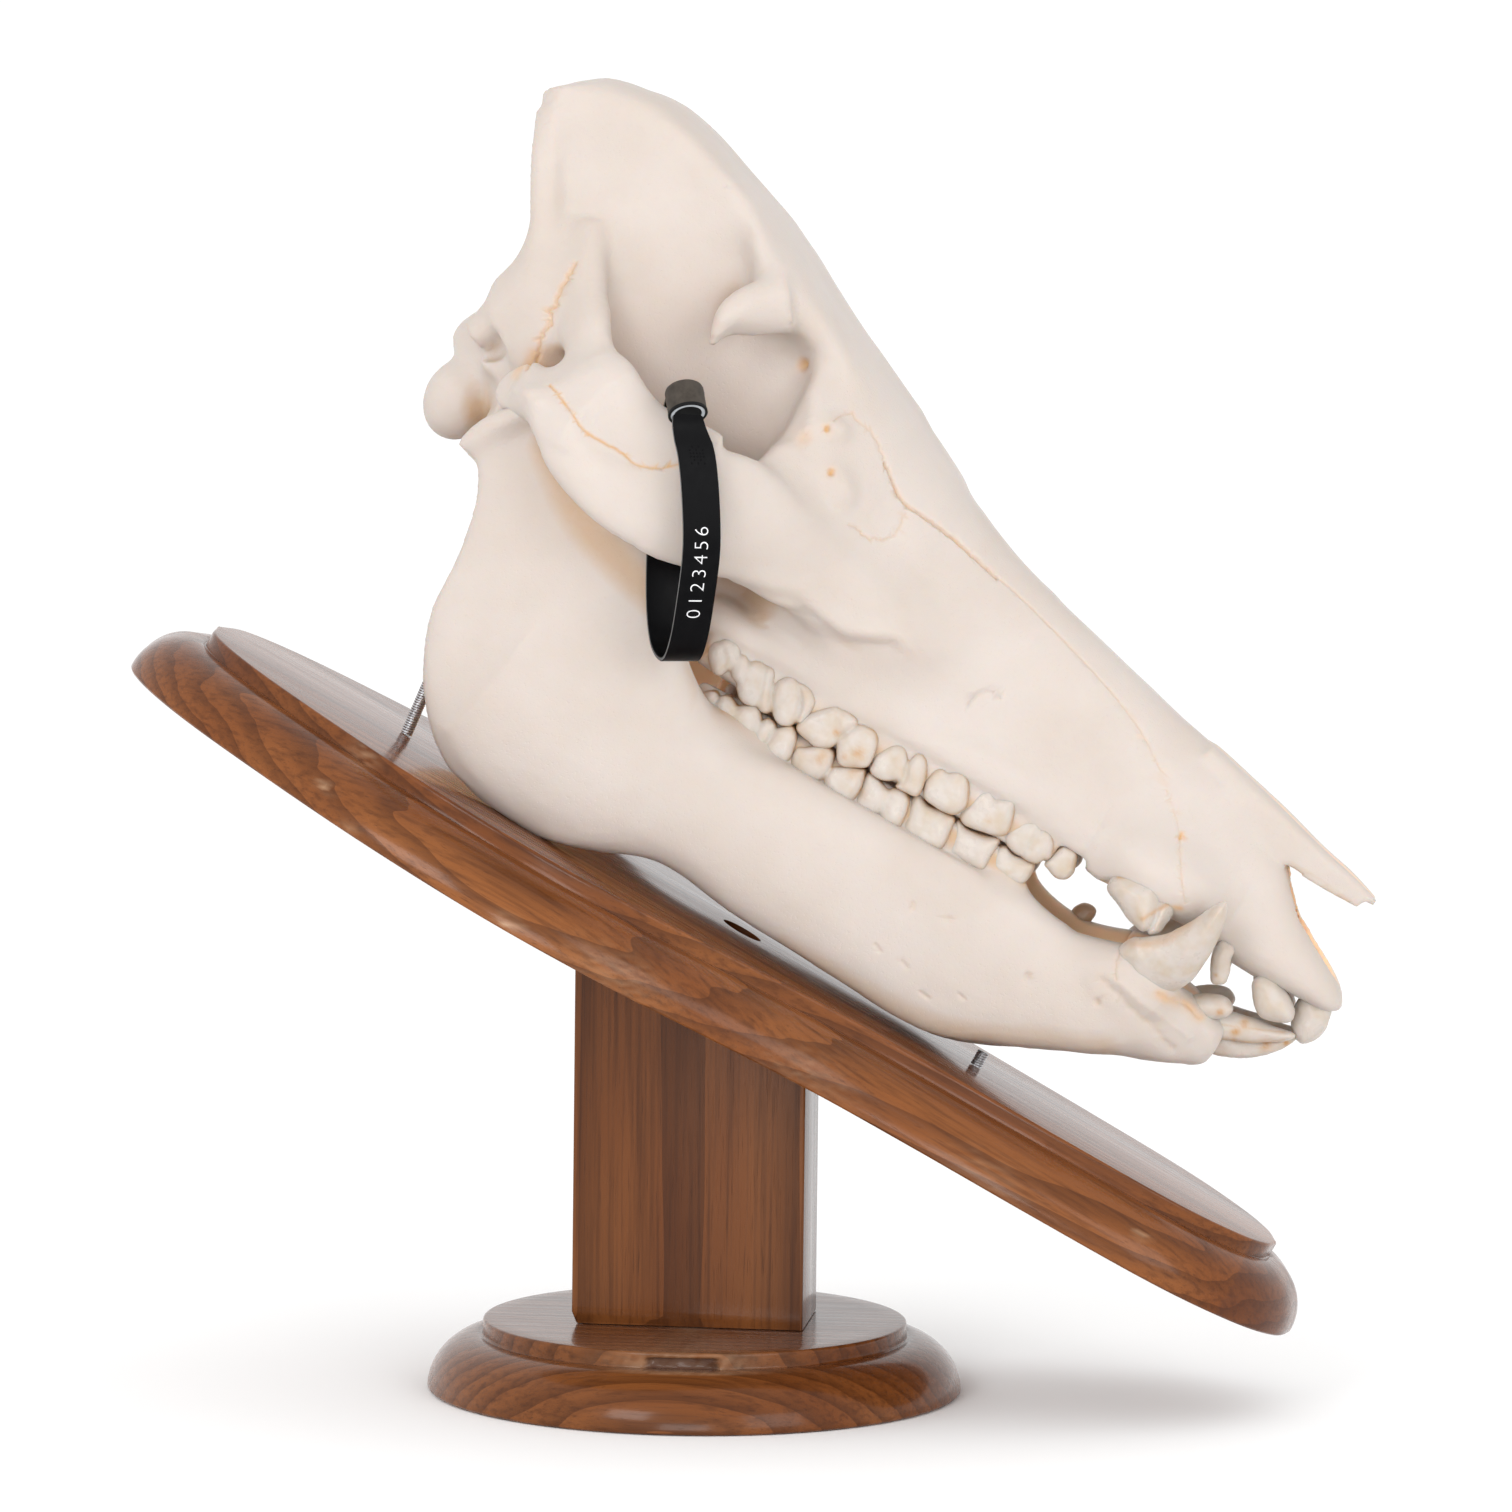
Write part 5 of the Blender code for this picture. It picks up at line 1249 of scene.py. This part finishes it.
def make_post(look):
    """Block with eased edges and a tiny chip at a lower corner, its top cut to the slope."""
    half = np.array([POST_LENGTH, POST_DEPTH]) / 2
    corner = [half - POST_EASE + POST_EASE * np.array([math.cos(a), math.sin(a)])
              for a in np.radians([0, 30, 60, 90])]
    quarters = [(1, 1), (-1, 1), (-1, -1), (1, -1)]
    ring = np.vstack([np.array(corner[::x * y]) * (x, y) for x, y in quarters])
    drop = -(BOARD_THICKNESS + GAP)
    rise = (drop - (ring[:, 0] - BOARD_CENTRE.x) * math.sin(BOARD_SLOPE)) / math.cos(BOARD_SLOPE)
    top = BOARD_CENTRE.z + rise
    foot = BASE_HEIGHT + GAP
    chip = np.prod(faded(ring + half, CHIP_WIDTH), axis=1)[:, None] * CHIP
    rings = [np.column_stack([ring + chip * max(0.0, 1 - share / 0.03), foot + (top - foot) * share])
             for share in (0, 0.006, 0.012, 0.02, 0.03, 0.045, 0.3, 0.65, 1)]
    points, faces = strip_mesh(rings)
    made = mesh_object("post_wood", points, faces, FOOT_FRAME, sharp=50)
    set_values(made, pale=np.zeros(len(points)), dark=np.zeros(len(points)))
    piece(made, look, "wood", "post")


def drilled(made):
    """Cuts the board's blind hole."""
    drill = bmesh.new()
    bmesh.ops.create_cone(drill, cap_ends=True, segments=48, radius1=BOARD_HOLE_RADIUS,
                          radius2=BOARD_HOLE_RADIUS, depth=2 * BOARD_HOLE_DEPTH)
    mesh = bpy.data.meshes.new("drill")
    drill.to_mesh(mesh)
    drill.free()
    mesh.transform(BOARD_FRAME)
    cutter = new_object("drill", mesh)
    made.modifiers.new("bore", "BOOLEAN").object = cutter
    result = worked_out(made)
    made.modifiers.clear()
    made.data = result
    bpy.data.objects.remove(cutter)
    result.shade_smooth()
    result.set_sharp_from_angle(angle=math.radians(40))


def make_plaque(look):
    """Moulded board with its blind hole."""
    half = spline(BOARD_OUTLINE, 16)[:-1]
    other = spline([(x, -y) for x, y in BOARD_OUTLINE[::-1]], 16)[:-1]
    outline = np.vstack([half, other])
    along = np.roll(outline, -1, axis=0) - np.roll(outline, 1, axis=0)
    outward = along[:, ::-1] * (-1, 1)
    outward /= np.linalg.norm(outward, axis=1)[:, None]
    profile = moulding(-MOULDING_STEP) + [(MOULDING_RADIUS - 0.05, -BOARD_THICKNESS + 0.5),
                                          (MOULDING_RADIUS - 0.5, -BOARD_THICKNESS)]
    points, faces = strip_mesh([np.column_stack([outline + outward * out, np.full(len(outline), z)])
                                for out, z in profile])
    points[:, 1] *= PLAQUE_FIT
    made = mesh_object("plaque_wood", points, faces)
    drilled(made)
    inverse = BOARD_FRAME.inverted()
    points = np.array([inverse @ v.co for v in made.data.vertices])
    x, y, z = points.T
    ragged = wavy(points, 2.2, 21)
    pale = np.zeros(len(points))
    # Pale scuffs, and low on the moulding a pale haze that is partly dust and partly a painted sheen
    for scuff_x, scuff_z, radius, strength in BOARD_SCUFFS_AND_SHEEN:
        scuff_and_sheen = strength * faded(np.hypot(x - scuff_x, 2 * (z - scuff_z)), radius)
        pale = np.maximum(pale, scuff_and_sheen * (0.5 + 0.9 * ragged))
    set_values(made, pale=np.clip(pale * (y < 0), 0, 1), dark=0.35 * (x > BOARD_JOINT) * (z < -0.5))
    piece(made, look, "wood", "plaque")


# Threaded steel: for each piece its foot's X on the board, its lean and its length
ROD_RADIUS = 1.9
THREAD_PITCH = 0.75
THREAD_DEPTH = 0.28
FASTENERS = {"rear_rod": (-117.0, math.radians(-6.0), 88.0), "front_stud": (80.4, 0.0, 5.0)}


def make_fasteners(look):
    """Threaded rod and stud that stand on the board."""
    turn = full_turn(20)
    for node, (foot, lean, top) in FASTENERS.items():
        profile = []
        for z in np.arange(GAP, top + 1e-6, THREAD_PITCH / 6):
            phase = (z / THREAD_PITCH - turn / (2 * np.pi)) % 1
            profile.append((ROD_RADIUS - THREAD_DEPTH * np.abs(2 * phase - 1), z))
        place = BOARD_FRAME @ Matrix.Translation((foot, 0, 0)) @ Matrix.Rotation(lean, 4, "Y")
        piece(mesh_object(node + "_thread", *turned_mesh(profile, turn), place), look, "steel", node)


# Band: its strap, the middle line of its loop and where its ends narrow
BAND_WIDTH = 11.0
BAND_THICKNESS = 1.2
BAND_EASE = 0.22
BAND_TURN = math.radians(26)
BAND_PATH = [
    (6.2, -88.0, 290.5), (6.8, -87.6, 286.0), (9.0, -88.0, 278.0), (10.3, -88.3, 266.0),
    (10.6, -87.8, 252.0), (8.8, -85.5, 238.0), (6.2, -80.0, 226.5), (3.0, -73.0, 220.8),
    (-1.0, -65.5, 224.0), (-3.0, -62.0, 234.0), (-3.3, -61.0, 250.0), (-2.0, -61.5, 270.0),
    (0.0, -63.5, 284.0), (2.5, -68.5, 293.5), (4.6, -75.0, 296.0), (5.0, -80.0, 295.5)]
BAND_STEPS = 10
BAND_TAPER = 9.0
BAND_END_SHARE = 0.72
# Number on the band, and its field of raised dots
NUMBER = "0123456"
NUMBER_HEIGHT = 4.2
NUMBER_PITCH = 3.95
NUMBER_START = 232.9
CAPITAL_SHARE = 0.7
DOTS_START = 44.0
DOTS_PITCH = 0.95
# Cap over the strap's ends
CAP_TOP = Vector((4.6, -84.3, 297.2))
CAP_AIM = Vector((0.22, -0.5, -0.84)).normalized()
CAP_LENGTH = 9.0
CAP_RADIUS = 5.5


class Band:
    """The strap's middle line, and places on its outer face."""

    def __init__(self):
        self.path = spline(BAND_PATH, BAND_STEPS)
        along = np.gradient(self.path, axis=0)
        along /= np.linalg.norm(along, axis=1)[:, None]
        self.wide = np.array([math.cos(BAND_TURN), math.sin(BAND_TURN), 0])
        self.out = np.cross(along, self.wide)
        self.out /= np.linalg.norm(self.out, axis=1)[:, None]
        self.reach = lengths_along(self.path)
        near_face = self.path[:, 1] < -75
        self.start = self.reach[np.argmin(np.abs(self.path[:, 2] - NUMBER_START) + 100 * ~near_face)]

    def place(self, upward, leftward, height):
        """Points on the outer face, from how far up from the number's start and how far left."""
        at = self.start - np.asarray(upward)
        centre, normal = (np.stack([np.interp(at, self.reach, part) for part in table.T], axis=1)
                          for table in (self.path, self.out))
        return centre - self.wide * np.asarray(leftward)[:, None] + normal * (BAND_THICKNESS / 2 + height)


def make_strap(band, look, cut_edge_and_highlight_look):
    """Strap with eased edges that narrows towards its ends."""
    half, thick, ease = BAND_WIDTH / 2, BAND_THICKNESS / 2, BAND_EASE
    lower = [(-half, -thick + ease), (-half + ease, -thick), (half - ease, -thick), (half, -thick + ease)]
    section = lower + [(-a, -b) for a, b in lower]
    ends = np.minimum(band.reach, band.reach[-1] - band.reach)
    narrow = BAND_END_SHARE + (1 - BAND_END_SHARE) * np.clip(ends / BAND_TAPER, 0, 1) ** 0.7
    points, faces = strip_mesh([[centre + band.wide * a * share + normal * b for a, b in section]
                                for centre, normal, share in zip(band.path, band.out, narrow)])
    made = mesh_object("band_strap", points, faces, FOOT_FRAME, sharp=30)
    piece(made, look, "band", "tag_band")
    # Grey on the strap's two narrow side faces: partly their matte cut surface, partly a painted highlight
    # along the edges
    made.data.materials.append(cut_edge_and_highlight_look)
    for face in made.data.polygons:
        corners = {v % 8 for v in face.vertices}
        face.material_index = int(corners in ({3, 4}, {7, 0}))


def make_number(band, look):
    """The band's plain number."""
    points, faces = [], []
    for i, digit in enumerate(NUMBER):
        text = bpy.data.curves.new("digit", "FONT")
        text.body = digit
        text.size = NUMBER_HEIGHT / CAPITAL_SHARE
        text.align_x = "CENTER"
        text.offset = -0.12
        holder = new_object("digit", text)
        flat = worked_out(holder)
        bpy.data.objects.remove(holder)
        corners = np.array([v.co for v in flat.vertices])
        up, left = (i + 0.35) * NUMBER_PITCH + corners[:, 0], corners[:, 1] - NUMBER_HEIGHT / 2 + 0.3
        faces += [tuple(len(points) + v for v in face.vertices) for face in flat.polygons]
        points += list(band.place(up, left, 0.05))
    piece(mesh_object("band_number", points, faces, FOOT_FRAME), look, "band")


def make_dots(band, look):
    """A few raised dots below the number, in a loose chequer."""
    points, faces = [], []
    turn = full_turn(8)
    for row, column in np.ndindex(6, 5):
        if (row + column) % 2 and row not in (2, 3):
            continue
        up, left = DOTS_START + row * DOTS_PITCH, (column - 2) * DOTS_PITCH
        base = len(points)
        faces += [(base + i, base + (i + 1) % 8, base + 8 + (i + 1) % 8, base + 8 + i) for i in range(8)]
        faces.append(tuple(base + 8 + i for i in range(8)))
        for radius, height in ((0.34, -0.05), (0.16, 0.16)):
            points += list(band.place(up + radius * np.cos(turn), left + radius * np.sin(turn), height))
    piece(mesh_object("band_dots", points, faces, FOOT_FRAME), look, "band")


def make_cap(look, rim_look, ring_look):
    """Cap over the strap's ends: rounded shoulder, black rim and a pale ring inside its mouth."""
    forms = {"cap_shell": (look, ["tag_cap"], [(0.3 - CAP_RADIUS, 0), (-1.3, 0.02), (-0.7, 0.18),
                                               (-0.25, 0.6), (0, 1.3), (0, CAP_LENGTH - 0.9)]),
             "cap_rim": (rim_look, [], [(-0.3, CAP_LENGTH - 0.95), (0.12, CAP_LENGTH - 0.8),
                                        (0.12, CAP_LENGTH - 0.15), (-0.1, CAP_LENGTH),
                                        (-0.45, CAP_LENGTH), (-0.6, CAP_LENGTH - 0.3)]),
             "cap_ring": (ring_look, [], [(-0.55, CAP_LENGTH - 0.5), (-0.7, CAP_LENGTH - 0.15),
                                          (-1.5, CAP_LENGTH - 0.15), (-1.7, CAP_LENGTH - 0.5),
                                          (-1.75, CAP_LENGTH - 3.0)])}
    aim = CAP_AIM.to_track_quat("Z", "Y").to_matrix().to_4x4()
    place = FOOT_FRAME @ Matrix.Translation(CAP_TOP) @ aim
    for name, (stuff, nodes, profile) in forms.items():
        points, faces = turned_mesh([(CAP_RADIUS + out, z) for out, z in profile], full_turn(64))
        made = mesh_object(name, points, [face[::-1] for face in faces], place, sharp=45)
        piece(made, stuff, "cap", *nodes)


def make_camera():
    """Camera where the photo was taken from."""
    ahead = Vector((math.sin(CAMERA_YAW) * math.cos(CAMERA_PITCH),
                    math.cos(CAMERA_YAW) * math.cos(CAMERA_PITCH), math.sin(CAMERA_PITCH)))
    level = Vector((math.cos(CAMERA_YAW), -math.sin(CAMERA_YAW), 0))
    upright = level.cross(ahead)
    right = level * math.cos(CAMERA_ROLL) + upright * math.sin(CAMERA_ROLL)
    up = upright * math.cos(CAMERA_ROLL) - level * math.sin(CAMERA_ROLL)
    camera = new_object("camera", bpy.data.cameras.new("camera"))
    camera.matrix_world = Matrix((right, up, -ahead)).transposed().to_4x4()
    camera.location = Vector((CAMERA_DISTANCE * math.sin(CAMERA_TURN),
                              -CAMERA_DISTANCE * math.cos(CAMERA_TURN), CAMERA_HEIGHT)) * MM
    camera.data.lens = CAMERA_LENS
    camera.data.sensor_width = 36
    camera.data.clip_start = 0.05
    bpy.context.scene.camera = camera


# Soft studio lights: place in metres, size, watts; where they aim, and the white surroundings
LIGHTS = {"key": ((-0.8, -2.0, 1.1), 0.7, 13.0), "side": ((1.5, -1.7, 0.7), 1.0, 11.0),
          "low": ((0.1, -1.7, 0.10), 0.6, 8.0)}
AIM = Vector((0.02, 0, 0.2))
SURROUNDINGS = 1.05
FLOOR_HALF = 3.0
FLOOR_DROP = 0.0003


def make_studio():
    """White surroundings, a pale floor and large soft lights."""
    world = bpy.data.worlds.new("studio")
    world.use_nodes = True
    background = world.node_tree.nodes["Background"].inputs
    background["Color"].default_value = (1, 1, 1, 1)
    background["Strength"].default_value = SURROUNDINGS
    bpy.context.scene.world = world
    bpy.context.scene.view_settings.view_transform = "Standard"
    for name, (place, size, power) in LIGHTS.items():
        lamp = bpy.data.lights.new(name, "AREA")
        lamp.size = size
        lamp.energy = power
        light = new_object(name, lamp)
        light.location = place
        light.rotation_euler = (AIM - light.location).to_track_quat("-Z", "Y").to_euler()
    corners = [(x * FLOOR_HALF, y * FLOOR_HALF, 0) for x, y in ((-1, -1), (1, -1), (1, 1), (-1, 1))]
    floor = mesh_object("floor", corners, [(0, 1, 2, 3)], Matrix.Translation((0, 0, -FLOOR_DROP)))
    floor.data.materials.append(Look("floor_look", (0.98, 0.98, 0.98), 0.9).material)


make_camera()
make_studio()
bone = make_bone_look()
enamel = make_tooth_look()
board_wood = make_wood_look("board_wood", BOARD_SLOPE, (0, 0.02, -0.05), 0.005, 0.8)
foot_wood = make_wood_look("foot_wood", 0.0, (0, 0.03, 0.05), 0.006, 0.7)
post_wood = make_wood_look("post_wood", math.radians(90), (0, 0.05, 0.02), 0.007, 0.62)
steel = make_steel_look()
strap = make_plastic_look("strap_look", (0.0015, 0.0015, 0.002), (0.0025, 0.0025, 0.003), 0.3)
# Grey of the strap's narrow side faces: matte cut edge with a painted highlight
strap_cut_edge_and_highlight = make_plastic_look("strap_cut_edge_and_highlight_look", (0.10, 0.10, 0.10), (0.14, 0.14, 0.14), 0.5)
print_white = make_plastic_look("print_look", (0.75, 0.75, 0.76), (0.68, 0.68, 0.70), 0.5)
cap_dark = make_plastic_look("cap_look", (0.045, 0.038, 0.032), (0.065, 0.055, 0.046), 0.42)
cap_black = make_plastic_look("cap_rim_look", (0.008, 0.008, 0.008), (0.012, 0.012, 0.012), 0.35)
cap_pale = make_plastic_look("cap_ring_look", (0.34, 0.36, 0.38), (0.42, 0.44, 0.46), 0.45)

make_base(foot_wood)
make_post(post_wood)
make_plaque(board_wood)
make_fasteners(steel)
tag = Band()
make_strap(tag, strap, strap_cut_edge_and_highlight)
make_number(tag, print_white)
make_dots(tag, strap)
make_cap(cap_dark, cap_black, cap_pale)
cranium = bone_object("cranium_bone", cranium_field(), CRANIUM_MARKS, CRANIUM_PAINTED_SHADE, CRANIUM_EASED,
                      CRANIUM_TRIANGLES)
piece(cranium, bone, "bone", "cranium")
mandible = bone_object("mandible_bone", mandible_field(), MANDIBLE_MARKS, MANDIBLE_PAINTED_SHADE, MANDIBLE_EASED,
                       MANDIBLE_TRIANGLES)
piece(mandible, bone, "bone", "mandible")
make_teeth(enamel)
